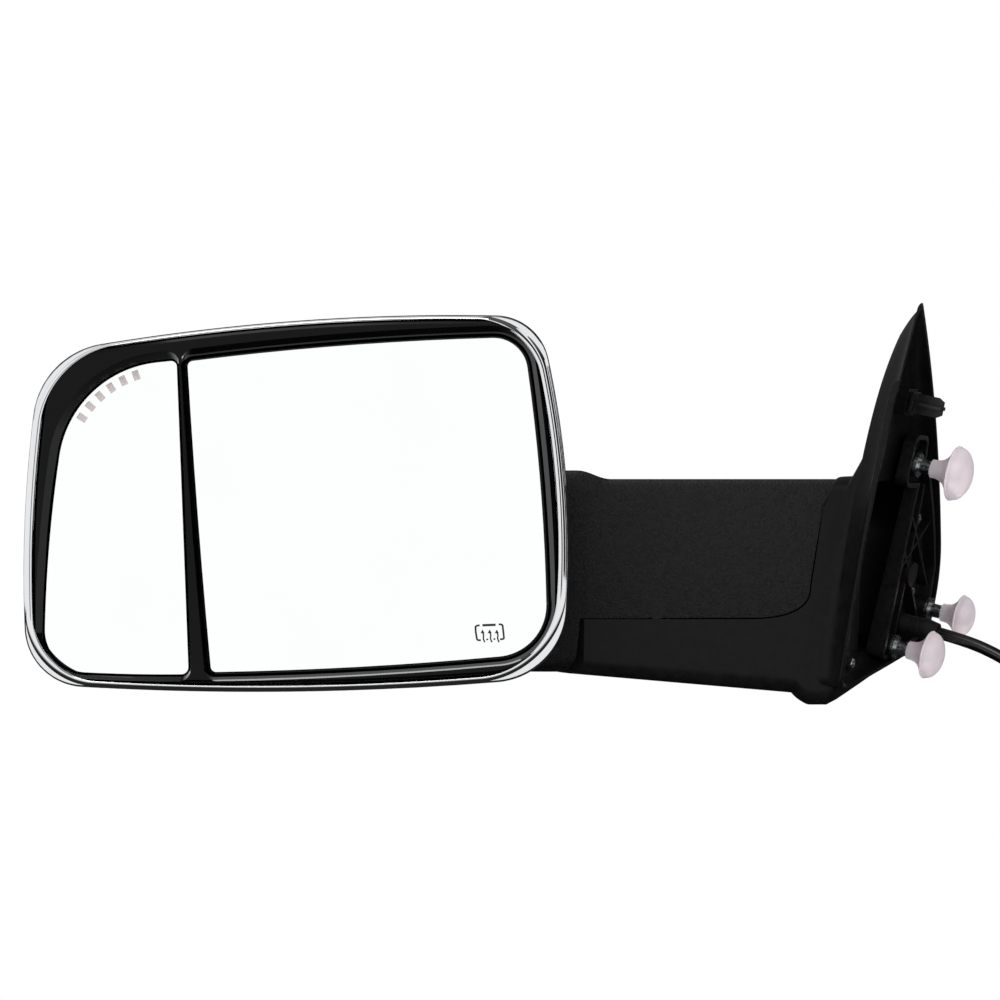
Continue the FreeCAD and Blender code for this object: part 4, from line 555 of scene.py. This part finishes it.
def arm_block(name, start, end, sizes):
    """Arm cover along X, between two places.

    Its top is level inboard, rises on a half cosine to a low hump, and follows the flip pivot's hub
    round; its underside leaves the hub on a quarter superellipse; its forward side comes back outboard by
    the power 1.7; and its rear face stands out as a parabola from the seam to the top.
    """
    flip, hub = JOINTS["flip"], sizes.arm_hub
    x = np.linspace(start, end, 2 + int((end - start) / ARM_STEP))
    past = FOLD[0] - x
    circle = hub * np.sqrt(1 - np.clip((x - flip[0]) / hub, -ALMOST_HUB, ALMOST_HUB) ** 2)
    rise = 0.5 - 0.5 * np.cos(math.pi * ramp(past, HUMP_START, HUMP_RUN))
    hump = sizes.arm_top + sizes.arm_hump * rise - HUMP_FALL * ramp(past, HUMP_FALL_START, HUMP_FALL_RUN)
    tops = np.where(x < flip[0], np.minimum(flip[2] + circle, hump), hump)
    far = np.minimum(ramp(past, LIFT_START, FOLD[0] - LIFT_START - flip[0] + hub), ALMOST_END)
    lows = ARM_LOW[2] + (flip[2] - ARM_LOW[2]) * (1 - np.sqrt(1 - far ** 2.6))
    fronts = ARM_LOW[1] + sizes.arm_depth - TAPER * ramp(past, TAPER_START, TAPER_RUN) ** 1.7
    rows = []
    for place, low, top, front in zip(x, lows, tops, fronts):
        height = top - low
        bow = sizes.arm_bow * min(1, height / ARM_BOW_FULL)
        rear = ARM_LOW[1] + bow
        edge = min(height, front - rear) * ROUND_SHARE
        rounds = np.array([sizes.arm_rear_round, ARM_FRONT_ROUND, ARM_FRONT_ROUND, sizes.arm_rear_round])
        bows = [0.2 * MM, 0.2 * MM, 0.2 * MM, bow]
        flat = outline(rectangle(rear, low, front, top), bows, np.minimum(rounds, edge), 30, 12)
        rows.append(section(flat, place))
    return tube(name, rows)


def make_arm(sizes):
    """The arm's cover: its outboard half stands round the shelf's end, its inboard half sits in the base's
    room for it with a running gap."""
    gap = sizes.arm_gap
    outboard = arm_block("arm_cover", ARM_LOW[0] + 0.3 * MM, FOLD[0], sizes)
    turn = np.linspace(0, 2 * math.pi, 180, endpoint=False)
    ring = FOLD[:2] + (sizes.shelf_radius + gap) * np.stack([np.cos(turn), np.sin(turn)], axis=1)
    combine(outboard, prism("shelf_room", ring, -FAR, FOLD[2] + gap * 0.5, level), "DIFFERENCE")
    inboard = arm_block("arm_inboard", FOLD[0] - 2 * MM, 0.0, sizes)
    combine(inboard, arm_end_space("arm_limit", -gap, FOLD[2] + gap, sizes), "INTERSECT")
    return dress(combine(outboard, inboard, "UNION"), "arm_grain", "arm", "arm_housing")


# Chrome rim

HEAD_MIDDLE = np.array([-398.7, 46.4]) * MM
HEAD_CORNERS = np.array([(-169.2, -112.8), (166.3, -108.4), (151.8, 117.8), (-160.3, 93.9)]) * MM
HEAD_BOWS = np.array([7.4, 11.2, 9.0, 6.5]) * MM
HEAD_ROUNDS = np.array([38.0, 48.0, 34.0, 51.0]) * MM
RIM_WIDTHS = np.array([4.0, 7.0, 2.2, 6.0]) * MM
RIM_CREST, RIM_BACK, RIM_INSET = 0.13, 0.4 * MM, 0.25 * MM


def make_chrome_rim(sizes):
    """The plated rim round the bezel: from its inner edge it rises on a quarter ellipse to a crest, then
    falls outwards on a longer one to the cap's side, all the way round the head's outline."""
    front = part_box("bezel")[0][1] + 0.1 * MM
    rise, fall = np.linspace(0, math.pi / 2, 8)[:-1], np.linspace(0, math.pi / 2, 18)
    across = np.concatenate([RIM_CREST * (1 - np.cos(rise)), RIM_CREST + (1 - RIM_CREST) * np.sin(fall),
                             [0.9, 0.1]])
    depth = np.concatenate([sizes.rim_rise * (1 - np.sin(rise)), sizes.rim_fall * (1 - np.cos(fall)),
                            [sizes.rim_fall + RIM_BACK] * 2])
    rings = []
    for share, back in zip(across, depth):
        insets = RIM_WIDTHS * (1 - share) + RIM_INSET * share
        flat = outline(drawn_in(HEAD_CORNERS, insets), HEAD_BOWS, HEAD_ROUNDS - insets, 70, 40)
        rings.append(upright(HEAD_MIDDLE + flat, front + back))
    rim = new_mesh_object("chrome_rim", np.stack(rings, axis=1), wrap_u=True, wrap_v=True)
    return dress(rim, "chrome", "head")


# Stud caps

CAP_SCALES = {"upper": 1.0, "lower_front": 0.8, "lower_rear": 0.88}
CAP_FOOT = 2.0 * MM
CAP_EDGE = 0.6 * MM


def cap_profile(sizes, scale):
    """Half section of a cap as (radius, height) pairs.

    Up the bore, over a lip to the sleeve, along a trumpet (radius by the power 3 of the way), round the
    rim on a half ellipse, and over a dome on a quarter ellipse.
    """
    neck, start, top = sizes.cap_radius * scale - CAP_EDGE, sizes.cap_start, sizes.stud_top + 0.1 * MM
    rim, half = start + sizes.cap_rim_up * scale, sizes.cap_rim / 2
    way = np.linspace(0, 1, 24)
    cone = np.stack([sizes.cap_sleeve + (neck - sizes.cap_sleeve) * way ** 3, start + (rim - start) * way],
                    axis=1)
    turn = np.linspace(-math.pi / 2, math.pi / 2, 9)[1:-1]
    bead = np.stack([neck + CAP_EDGE * np.cos(turn), rim + half + half * np.sin(turn)], axis=1)
    angle = np.linspace(0, math.pi / 2, 26)
    dome = np.stack([neck * np.cos(angle), rim + sizes.cap_rim + sizes.cap_dome * scale * np.sin(angle)],
                    axis=1)
    dome[-1, 0] = ON_AXIS
    inside = np.array([[ON_AXIS, top], [sizes.cap_bore, top], [sizes.cap_bore, start + 0.4 * MM]])
    return np.vstack([inside, cone, bead, dome])


def revolve(name, profile, origin, axis, side, turns=96):
    """Surface of revolution: radius and height of the profile, turned evenly round an axis."""
    across = np.cross(axis, side)
    angle = np.linspace(0, 2 * math.pi, turns, endpoint=False)
    ring = np.cos(angle)[:, None] * side + np.sin(angle)[:, None] * across
    radius, height = profile[:, 0], profile[:, 1]
    grid = origin + radius[:, None, None] * ring[None] + height[:, None, None] * axis
    return tube(name, grid)


def make_caps(sizes):
    """The three push-on caps, each turned round its stud's line; the two low ones are smaller."""
    for name, scale in CAP_SCALES.items():
        foot = SEATS["stud_" + name + "_seat"] - CAP_FOOT * DOOR_INWARD
        dress(revolve("cap_" + name, cap_profile(sizes, scale), foot, DOOR_INWARD, DOOR_UP),
              "cap_plastic", "base", "stud_cap_" + name)


# Marks on the glasses. The lamps' windows lie on a ring about a hub, given from the glass's middle.

MARK_THICKNESS = 0.04 * MM
LAMP_HUB, LAMP_RING = np.array([29.98, 30.80]) * MM, 63.85 * MM
LAMP_TURNS = np.radians(148.0 - 7.9 * np.arange(6))


def stroke(name, points, width, thickness, front):
    """Flat stroke on the glass: the path's points moved sideways by half the width, and back by its
    thickness.

    points are (x, z); the cross-section is a rectangle with its front at Y = front.
    """
    path = np.asarray(points, float)
    ahead = np.gradient(path, axis=0)
    ahead /= np.linalg.norm(ahead, axis=1)[:, None]
    side = np.stack([-ahead[:, 1], ahead[:, 0]], axis=1) * (np.broadcast_to(width, len(path))[:, None] / 2)
    left, right = path + side, path - side
    corners = [(right, front), (left, front), (left, front + thickness), (right, front + thickness)]
    grid = np.stack([upright(edge, y) for edge, y in corners], axis=1)
    piece = tube(name, grid)
    piece.data.shade_flat()
    return piece


def rounded(points, steps=8):
    """Points along a quadratic blend of a polyline's corners, starting and ending at its ends."""
    points = np.asarray(points, float)
    middles = (points[1:] + points[:-1]) / 2
    t = np.linspace(0, 1, steps)[:, None]
    runs = []
    for i in range(1, len(points) - 1):
        begin = points[0] if i == 1 else middles[i - 1]
        end = points[-1] if i == len(points) - 2 else middles[i]
        run = (1 - t) ** 2 * begin + 2 * t * (1 - t) * points[i] + t ** 2 * end
        runs.append(run if i == 1 else run[1:])
    return np.vstack(runs)


def make_heater_mark(sizes):
    """Generic heated-glass symbol: two brackets, a bar, three rising arrows and two dots, drawn in mm
    about its middle."""
    low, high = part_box("main_glass")
    middle = np.array([high[0] - sizes.mark_in, low[2] + sizes.mark_up])
    front = low[1] - MARK_THICKNESS
    lines = [
        (rounded([(-6.4, 4.9), (-9.0, 4.7), (-9.0, 2.6), (-8.8, 0.0)]), 1.2),
        (rounded([(-8.8, 0.2), (-8.3, -2.6), (-8.0, -4.7), (-5.6, -4.5)]), 1.2),
        (rounded([(5.6, 5.5), (8.0, 5.6), (8.2, 3.4), (8.5, 0.8)]), 1.2),
        (rounded([(8.5, 1.0), (8.8, -1.8), (9.0, -4.0), (6.4, -3.9)]), 1.2),
        (np.array([(-4.7, 4.9), (-0.5, 5.05), (3.7, 5.2)]), 1.5),
        (np.array([(-2.2, -4.0), (-1.6, -4.0), (-1.0, -4.0)]), 1.1),
        (np.array([(2.3, -3.8), (2.9, -3.8), (3.5, -3.8)]), 1.1),
    ]
    for step in (-4.5, 0.0, 4.5):
        shaft = [(step - 0.1, 0.4), (step + 0.9, -1.2), (step + 0.1, -3.4), (step + 1.4, -5.8)]
        lines.append((rounded(shaft), 0.95))
        head = np.array([(step - 0.1, 2.2), (step - 0.1, 1.0), (step - 0.1, -0.1)])
        lines.append((head, np.array([0.15, 1.4, 2.6])))
    strokes = [stroke("mark_%d" % i, middle + points * MM, np.asarray(width) * MM, MARK_THICKNESS, front)
               for i, (points, width) in enumerate(lines)]
    return dress(join_as("heated_glass_mark", strokes), "mark_black", "main_glass_unit")


def make_lamp_windows(sizes):
    """Six etched windows over the signal lamps: small plates on the sphere of the glass.

    Each is a grid across and along its radius from the hub; its depth is the sphere's sag at that
    distance from the glass's middle, and the back lies one thickness behind the front.
    """
    glass_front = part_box("spotter_glass")[0][1]
    middle = np.array(sizes.spotter_middle)
    across = np.linspace(-0.5, 0.5, 5)[:, None, None] * sizes.lamp_width
    along = np.linspace(-0.5, 0.5, 6)[None, :, None] * sizes.lamp_height
    pieces = []
    for i, turn in enumerate(LAMP_TURNS):
        outward = np.array([math.cos(turn), math.sin(turn)])
        sideways = np.array([-outward[1], outward[0]])
        flat = LAMP_HUB + outward * LAMP_RING + across * sideways + along * outward
        sag = sizes.spotter_radius - np.sqrt(sizes.spotter_radius ** 2 - (flat ** 2).sum(axis=-1))
        flat = middle + flat
        front = np.stack([flat[..., 0], glass_front + sag - 0.05 * MM, flat[..., 1]], axis=-1)
        grid = np.concatenate([front, front[:, ::-1] + np.array([0, MARK_THICKNESS, 0])], axis=1)
        piece = tube("lamp_window_%d" % i, grid)
        piece.data.shade_flat()
        pieces.append(piece)
    return dress(join_as("signal_lamp_windows", pieces), "lamp_grey", "spotter_unit")


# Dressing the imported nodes


def dress_nodes():
    """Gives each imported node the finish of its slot; the arm's cover gets its own deeper grain."""
    slots = {entry["node"]: entry["material_slot"] for entry in frame["record"]["subparts"]}
    slots["arm_housing"] = "arm_grain"
    for name, node in frame["nodes"].items():
        node.data.materials.clear()
        node.data.materials.append(MATERIALS[slots[name]])


# Stage. Panels are spans of a direction's part across (X), along (Y) or up (Z).

FLOOR_HALF = 6.0
GLOSS_FLOOR = (-0.35, -0.75)
VIEWER_CONE = (-0.915, -0.95)
LEFT_PANEL = (-0.42, -0.6)
CEILING = (0.4, 0.6)
CEILING_LEFT, CEILING_RIGHT_LIGHT = (0.1, -0.06), 0.12
STRIPS = (("Z", -0.56, 0.035), ("X", 0.6, 0.07), ("X", 0.93, 0.02))
AIM = Vector((-0.27, 0, 0.05))
WHITE = (1, 1, 1, 1)


def make_floor(height, light):
    """Pale floor: white to the camera, and in gloss a dark cloth below the part that turns white behind
    the viewer."""
    corners = [[[x, y, height] for y in (-FLOOR_HALF, FLOOR_HALF)] for x in (-FLOOR_HALF, FLOOR_HALF)]
    floor = new_mesh_object("studio_floor", np.array(corners, float))
    material = bpy.data.materials.new("matt_white_paint")
    material.use_nodes = True
    tree = material.node_tree
    tree.nodes.clear()
    rays = add_node(tree, "ShaderNodeLightPath")
    paint = add_node(tree, "ShaderNodeBsdfPrincipled", sockets={
        "Base Color": (0.8, 0.8, 0.8, 1), "Roughness": 0.9})
    white = add_node(tree, "ShaderNodeEmission", sockets={"Color": WHITE, "Strength": 1.0})
    both = add_node(tree, "ShaderNodeMixShader", sockets={
        "Fac": seen(tree, rays), 1: paint.outputs[0], 2: white.outputs[0]})
    place = add_node(tree, "ShaderNodeSeparateXYZ", sockets={
        "Vector": add_node(tree, "ShaderNodeNewGeometry").outputs["Position"]})
    card = add_node(tree, "ShaderNodeEmission", sockets={
        "Color": WHITE, "Strength": map_range(tree, place.outputs["Y"], *GLOSS_FLOOR, light.dark_side, 1.0)})
    shown = add_node(tree, "ShaderNodeMixShader", sockets={
        "Fac": rays.outputs["Is Glossy Ray"], 1: both.outputs[0], 2: card.outputs[0]})
    add_node(tree, "ShaderNodeOutputMaterial", sockets={"Surface": shown.outputs[0]})
    floor.data.materials.append(material)
    return floor


def make_studio_world(light):
    """White all round for the camera; for gloss, white behind the viewer and graded panels elsewhere."""
    world = bpy.data.worlds.new("studio")
    bpy.context.scene.world = world
    world.use_nodes = True
    tree = world.node_tree
    tree.nodes.clear()
    rays = add_node(tree, "ShaderNodeLightPath")
    way = add_node(tree, "ShaderNodeSeparateXYZ", sockets={
        "Vector": add_node(tree, "ShaderNodeTexCoord").outputs["Generated"]}).outputs
    ceiling = math_node(tree, "MULTIPLY", map_range(tree, way["Z"], *CEILING, 0.0, light.ceiling),
                        map_range(tree, way["X"], *CEILING_LEFT, CEILING_RIGHT_LIGHT, 1.0))
    strips = [math_node(tree, "COMPARE", way[axis], middle, half) for axis, middle, half in STRIPS]
    panels = map_range(tree, way["Y"], *VIEWER_CONE, 0.0, 1.0)
    left = map_range(tree, way["X"], *LEFT_PANEL, light.dark_side, light.left_panel)
    for other in (left, ceiling, *strips):
        panels = math_node(tree, "MAXIMUM", panels, other)
    gloss = add_node(tree, "ShaderNodeMix", {"data_type": "FLOAT"}, {
        0: rays.outputs["Is Glossy Ray"], 2: light.sky, 3: panels})
    strength = add_node(tree, "ShaderNodeMix", {"data_type": "FLOAT"}, {
        0: seen(tree, rays), 2: gloss.outputs[0], 3: 1.0})
    background = add_node(tree, "ShaderNodeBackground", sockets={
        "Color": WHITE, "Strength": strength.outputs[0]})
    add_node(tree, "ShaderNodeOutputWorld", sockets={"Surface": background.outputs[0]})


def make_lamps(light):
    """Four soft boxes: a key overhead, which grazes the grain, one at the left, a fill at the right and one
    behind. Gloss shows the world's panels in place of the last three."""
    for name, position, power, width, in_gloss in (("key", (-0.45, -1.5, 1.45), light.key, 0.8, True),
                                                   ("left", (-1.7, -1.6, 0.9), light.left, 1.6, False),
                                                   ("fill", (1.4, -1.9, 0.6), light.fill, 1.8, False),
                                                   ("back", (0.0, 1.8, 1.5), light.back, 1.6, False)):
        data = bpy.data.lights.new(name + "_softbox", "AREA")
        data.energy = power
        data.size = width
        lamp = bpy.data.objects.new(name + "_softbox", data)
        lamp.location = position
        lamp.visible_glossy = in_gloss
        lamp.rotation_euler = (AIM - lamp.location).to_track_quat("-Z", "Y").to_euler()
        bpy.context.scene.collection.objects.link(lamp)


def make_camera(sizes):
    """Level camera behind the mirror, far back with a long lens."""
    data = bpy.data.cameras.new("camera")
    data.lens = 171.43
    data.sensor_width = 36
    data.clip_end = 50
    camera = bpy.data.objects.new("camera", data)
    camera.location = sizes.camera_place
    camera.rotation_euler = (math.pi / 2, 0, 0)
    bpy.context.scene.collection.objects.link(camera)
    bpy.context.scene.camera = camera
    bpy.context.scene.view_settings.view_transform = "Standard"


# Add-on


def colour(name, description, hex_colour):
    return FloatVectorProperty(name=name, description=description, default=linear(hex_colour),
                               subtype="COLOR", size=3, min=0.0, max=1.0)


def length(name, description, millimetres):
    return FloatProperty(name=name, description=description, default=millimetres * MM, unit="LENGTH")


def brightness(name, description, default):
    return FloatProperty(name=name, description=description, default=default, min=0.0)


def power(name, description, watts):
    return FloatProperty(name=name, description=description, default=watts, unit="POWER")


class MirrorColours(PropertyGroup):
    """Base colours of the finishes."""
    chrome: colour("Chrome", "Chromium plate on the back cap and rim", "#E6E7E9")
    gloss_black: colour("Gloss black", "High-gloss bezel", "#040405")
    black_plastic: colour("Black plastic", "Grained arm and base mouldings", "#100F10")
    carrier_black: colour("Carrier black", "Glass-filled parts behind and beside", "#0D0D0E")
    mirror: colour("Mirror", "Silvering of both glasses", "#FDFEFE")
    heater: colour("Heating film", "Carbon film behind the main glass", "#26221F")
    zinc: colour("Zinc", "Plated studs, pivots' nuts and screws", "#C6CACC")
    steel: colour("Steel", "Pivot posts", "#A6A8AB")
    spring_steel: colour("Spring steel", "Disc springs", "#4A4A4E")
    nylon: colour("Nylon", "Bushings and thrust rings", "#DAD4C4")
    caps: colour("Stud caps", "Milky shipping caps", "#F6EAF0")
    rubber: colour("Rubber", "Cable boot", "#101010")
    cable: colour("Cable", "Cable jacket", "#070708")
    connector: colour("Connector", "Connector shell and latch", "#131316")
    brass: colour("Terminals", "Connector pins", "#C8A765")
    board: colour("Board", "Signal lamp board", "#15422A")
    seal: colour("Seal", "Connector seal", "#B0521E")
    mark: colour("Glass mark", "Enamel symbol on the main glass", "#0A0A0A")
    lamp_window: colour("Lamp windows", "Etched windows on the spotter glass", "#BDB5B4")


class MirrorSizes(PropertyGroup):
    """Sizes of the pieces that are made here."""
    sail_depth: length("Sail depth", "Depth of the sail's dish below the door face", 17.0)
    sail_wall: length("Sail wall", "Thickness of the sail's rim", 2.2)
    sail_sweep_low: length("Sail sweep at the foot", "How far the rear flank draws in at the foot", 19.0)
    sail_sweep_top: length("Sail sweep at the top", "How far the rear flank draws in at the tip", 6.0)
    base_wall: length("Base wall", "Thickness of the trunk's and the floor's walls", 3.6)
    rim_rise: length("Rim rise", "How far the plated rim rises from its inner edge to its crest", 2.1)
    rim_fall: length("Rim fall", "How far the plated rim falls from its crest to its outer edge", 4.4)
    arm_hub: length("Arm hub", "Radius of the arm's round outboard end", 54.0)
    arm_hump: length("Arm hump", "Rise of the arm's top beside the head", 5.6)
    arm_bow: length("Arm bow", "How far the arm's rear face stands out at its middle", 5.0)
    arm_rear_round: length("Arm rear round", "Round of the arm's rear edges", 11.0)
    arm_gap: length("Arm gap", "Running gap between the arm and the base", 0.8)
    arm_depth: length("Arm depth", "Depth of arm and trunk, rear to front", 92.0)
    arm_top: length("Arm top", "Height of the top of arm and trunk", 62.3)
    trunk_low: length("Trunk underside", "Height of the trunk's lowest part", -82.0)
    trunk_rear_round: length("Trunk rear round", "Round of the trunk's rear edges", 11.0)
    trunk_forward_round: length("Trunk forward round", "Round of the trunk's forward edges", 22.0)
    trunk_slant_round: length("Trunk slant round", "What the far forward top edge gains in round", 42.0)
    flare_forward: length("Flare forward", "How far the flare spreads at the front", 14.0)
    flare_top: length("Flare top", "How far the flare climbs up the sail", 105.0)
    flare_low: length("Flare low", "How far the flare spreads below", 4.0)
    shelf_radius: length("Shelf radius", "Radius of the shelf's end about the fold pivot", 62.3)
    shelf_low: length("Shelf underside", "Height of the shelf's underside at its outboard end", -61.5)
    shelf_slope: FloatProperty(name="Shelf slope", description="Fall of its underside along its length",
                               default=0.086)
    end_low_radius: length("Arm end radius", "Radius of the arm's end low down, about the fold pivot", 113.5)
    end_top_radius: length("Arm end top radius", "Radius of the arm's end at the top", 134.0)
    pin_boss: length("Pin boss", "Side of the locating pin's square boss", 17.0)
    cable_diameter: length("Cable diameter", "Width of the cable's jacket", 8.0)
    cap_radius: length("Cap radius", "Radius of a stud cap's rim", 18.0)
    cap_sleeve: length("Cap sleeve", "Outer radius of a cap's sleeve where it grips the stud", 6.0)
    cap_bore: length("Cap bore", "Radius of the hole in a cap", 4.55)
    cap_start: length("Cap start", "Height of a cap's sleeve above the door face", 10.5)
    cap_rim_up: length("Cap cone", "Height of a cap's cone", 15.0)
    cap_rim: length("Cap rim", "Thickness of a cap's rim", 1.4)
    cap_dome: length("Cap dome", "Height of a cap's dome", 10.5)
    stud_top: length("Stud top", "Height of a stud's end above the door face", 25.0)
    mark_in: length("Mark from the side", "Heated-glass mark's middle from the glass's inboard edge", 37.1)
    mark_up: length("Mark from below", "Heated-glass mark's middle above the glass's low edge", 26.0)
    spotter_radius: length("Spotter radius", "Radius of the convex glass", 900.0)
    spotter_middle: FloatVectorProperty(name="Spotter middle", description="Middle of the convex glass",
                                        default=(-0.510025, 0.036175), size=2, unit="LENGTH")
    lamp_width: length("Lamp window width", "Width of a signal lamp's window", 4.2)
    lamp_height: length("Lamp window height", "Height of a signal lamp's window", 6.2)
    camera_place: FloatVectorProperty(name="Camera place", description="Where the camera stands",
                                      default=(-0.2708, -3.121, 0.0489), size=3, unit="LENGTH", subtype="XYZ")


class StudioLight(PropertyGroup):
    """Strengths of the studio's light."""
    sky: brightness("Sky", "Even light from all round", 0.6)
    dark_side: brightness("Dark side", "Brightness of low reflections", 0.02)
    ceiling: brightness("Ceiling", "Brightness of overhead reflections", 0.8)
    left_panel: brightness("Left panel", "Brightness of the panel at the left", 1.0)
    key: power("Key", "Power of the key soft box", 9.0)
    left: power("Left", "Power of the soft box at the left", 18.0)
    fill: power("Fill", "Power of the fill soft box", 16.0)
    back: power("Back", "Power of the soft box behind", 16.0)


class MakesPiece:
    """What the operators of the pieces share: each makes its piece from the sizes."""

    def execute(self, context):
        self.make(context.scene.side_mirror_sizes)
        return {"FINISHED"}


class SIDEMIRROR_OT_camera(MakesPiece, Operator):
    """Place the level camera behind the mirror"""
    bl_idname = "side_mirror.camera"
    bl_label = "Camera"
    make = staticmethod(make_camera)


class SIDEMIRROR_OT_finishes(Operator):
    """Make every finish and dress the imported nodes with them"""
    bl_idname = "side_mirror.finishes"
    bl_label = "Finishes"

    def execute(self, context):
        make_finishes(context.scene.side_mirror_colours)
        dress_nodes()
        return {"FINISHED"}


class SIDEMIRROR_OT_cable(MakesPiece, Operator):
    """Lay the cable from the boot to its connector"""
    bl_idname = "side_mirror.cable"
    bl_label = "Cable"
    make = staticmethod(make_cable)


class SIDEMIRROR_OT_base(MakesPiece, Operator):
    """Build the base moulding with its sail, trunk and shelf"""
    bl_idname = "side_mirror.base"
    bl_label = "Base moulding"
    make = staticmethod(make_base)


class SIDEMIRROR_OT_arm(MakesPiece, Operator):
    """Build the arm's cover"""
    bl_idname = "side_mirror.arm"
    bl_label = "Arm cover"
    make = staticmethod(make_arm)


class SIDEMIRROR_OT_chrome_rim(MakesPiece, Operator):
    """Run the plated rim round the bezel"""
    bl_idname = "side_mirror.chrome_rim"
    bl_label = "Chrome rim"
    make = staticmethod(make_chrome_rim)


class SIDEMIRROR_OT_caps(MakesPiece, Operator):
    """Turn the three smooth shipping caps on the studs"""
    bl_idname = "side_mirror.caps"
    bl_label = "Stud caps"
    make = staticmethod(make_caps)


class SIDEMIRROR_OT_heater_mark(MakesPiece, Operator):
    """Draw the heated-glass symbol on the main glass"""
    bl_idname = "side_mirror.heater_mark"
    bl_label = "Heated-glass mark"
    make = staticmethod(make_heater_mark)


class SIDEMIRROR_OT_lamp_windows(MakesPiece, Operator):
    """Set the six lamp windows on the spotter glass"""
    bl_idname = "side_mirror.lamp_windows"
    bl_label = "Lamp windows"
    make = staticmethod(make_lamp_windows)


class SIDEMIRROR_OT_stage(Operator):
    """Build the floor, the studio world and the soft boxes"""
    bl_idname = "side_mirror.stage"
    bl_label = "Stage"

    def execute(self, context):
        light = context.scene.side_mirror_light
        make_floor(CAD_BOX[0][2], light)
        make_studio_world(light)
        make_lamps(light)
        return {"FINISHED"}


OPERATORS = (SIDEMIRROR_OT_camera, SIDEMIRROR_OT_finishes, SIDEMIRROR_OT_cable, SIDEMIRROR_OT_base,
             SIDEMIRROR_OT_arm, SIDEMIRROR_OT_chrome_rim, SIDEMIRROR_OT_caps, SIDEMIRROR_OT_heater_mark,
             SIDEMIRROR_OT_lamp_windows, SIDEMIRROR_OT_stage)


class SIDEMIRROR_PT_panel(Panel):
    """Lists the pieces, their sizes, colours and light"""
    bl_idname = "SIDEMIRROR_PT_panel"
    bl_label = "Side Mirror"
    bl_space_type = "VIEW_3D"
    bl_region_type = "UI"
    bl_category = "Side Mirror"

    def draw(self, context):
        layout = self.layout
        for operator in OPERATORS:
            layout.operator(operator.bl_idname)
        for group in (context.scene.side_mirror_sizes, context.scene.side_mirror_colours,
                      context.scene.side_mirror_light):
            box = layout.box()
            for name in group.__annotations__:
                box.prop(group, name)


CLASSES = (MirrorColours, MirrorSizes, StudioLight) + OPERATORS + (SIDEMIRROR_PT_panel,)


def register():
    for item in CLASSES:
        bpy.utils.register_class(item)
    bpy.types.Scene.side_mirror_colours = PointerProperty(type=MirrorColours)
    bpy.types.Scene.side_mirror_sizes = PointerProperty(type=MirrorSizes)
    bpy.types.Scene.side_mirror_light = PointerProperty(type=StudioLight)


def unregister():
    del bpy.types.Scene.side_mirror_light
    del bpy.types.Scene.side_mirror_sizes
    del bpy.types.Scene.side_mirror_colours
    for item in reversed(CLASSES):
        bpy.utils.unregister_class(item)


def main():
    """Registers the add-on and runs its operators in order."""
    register()
    for operator in OPERATORS:
        getattr(bpy.ops.side_mirror, operator.bl_idname.split(".")[1])()


if __name__ == "__main__":
    main()
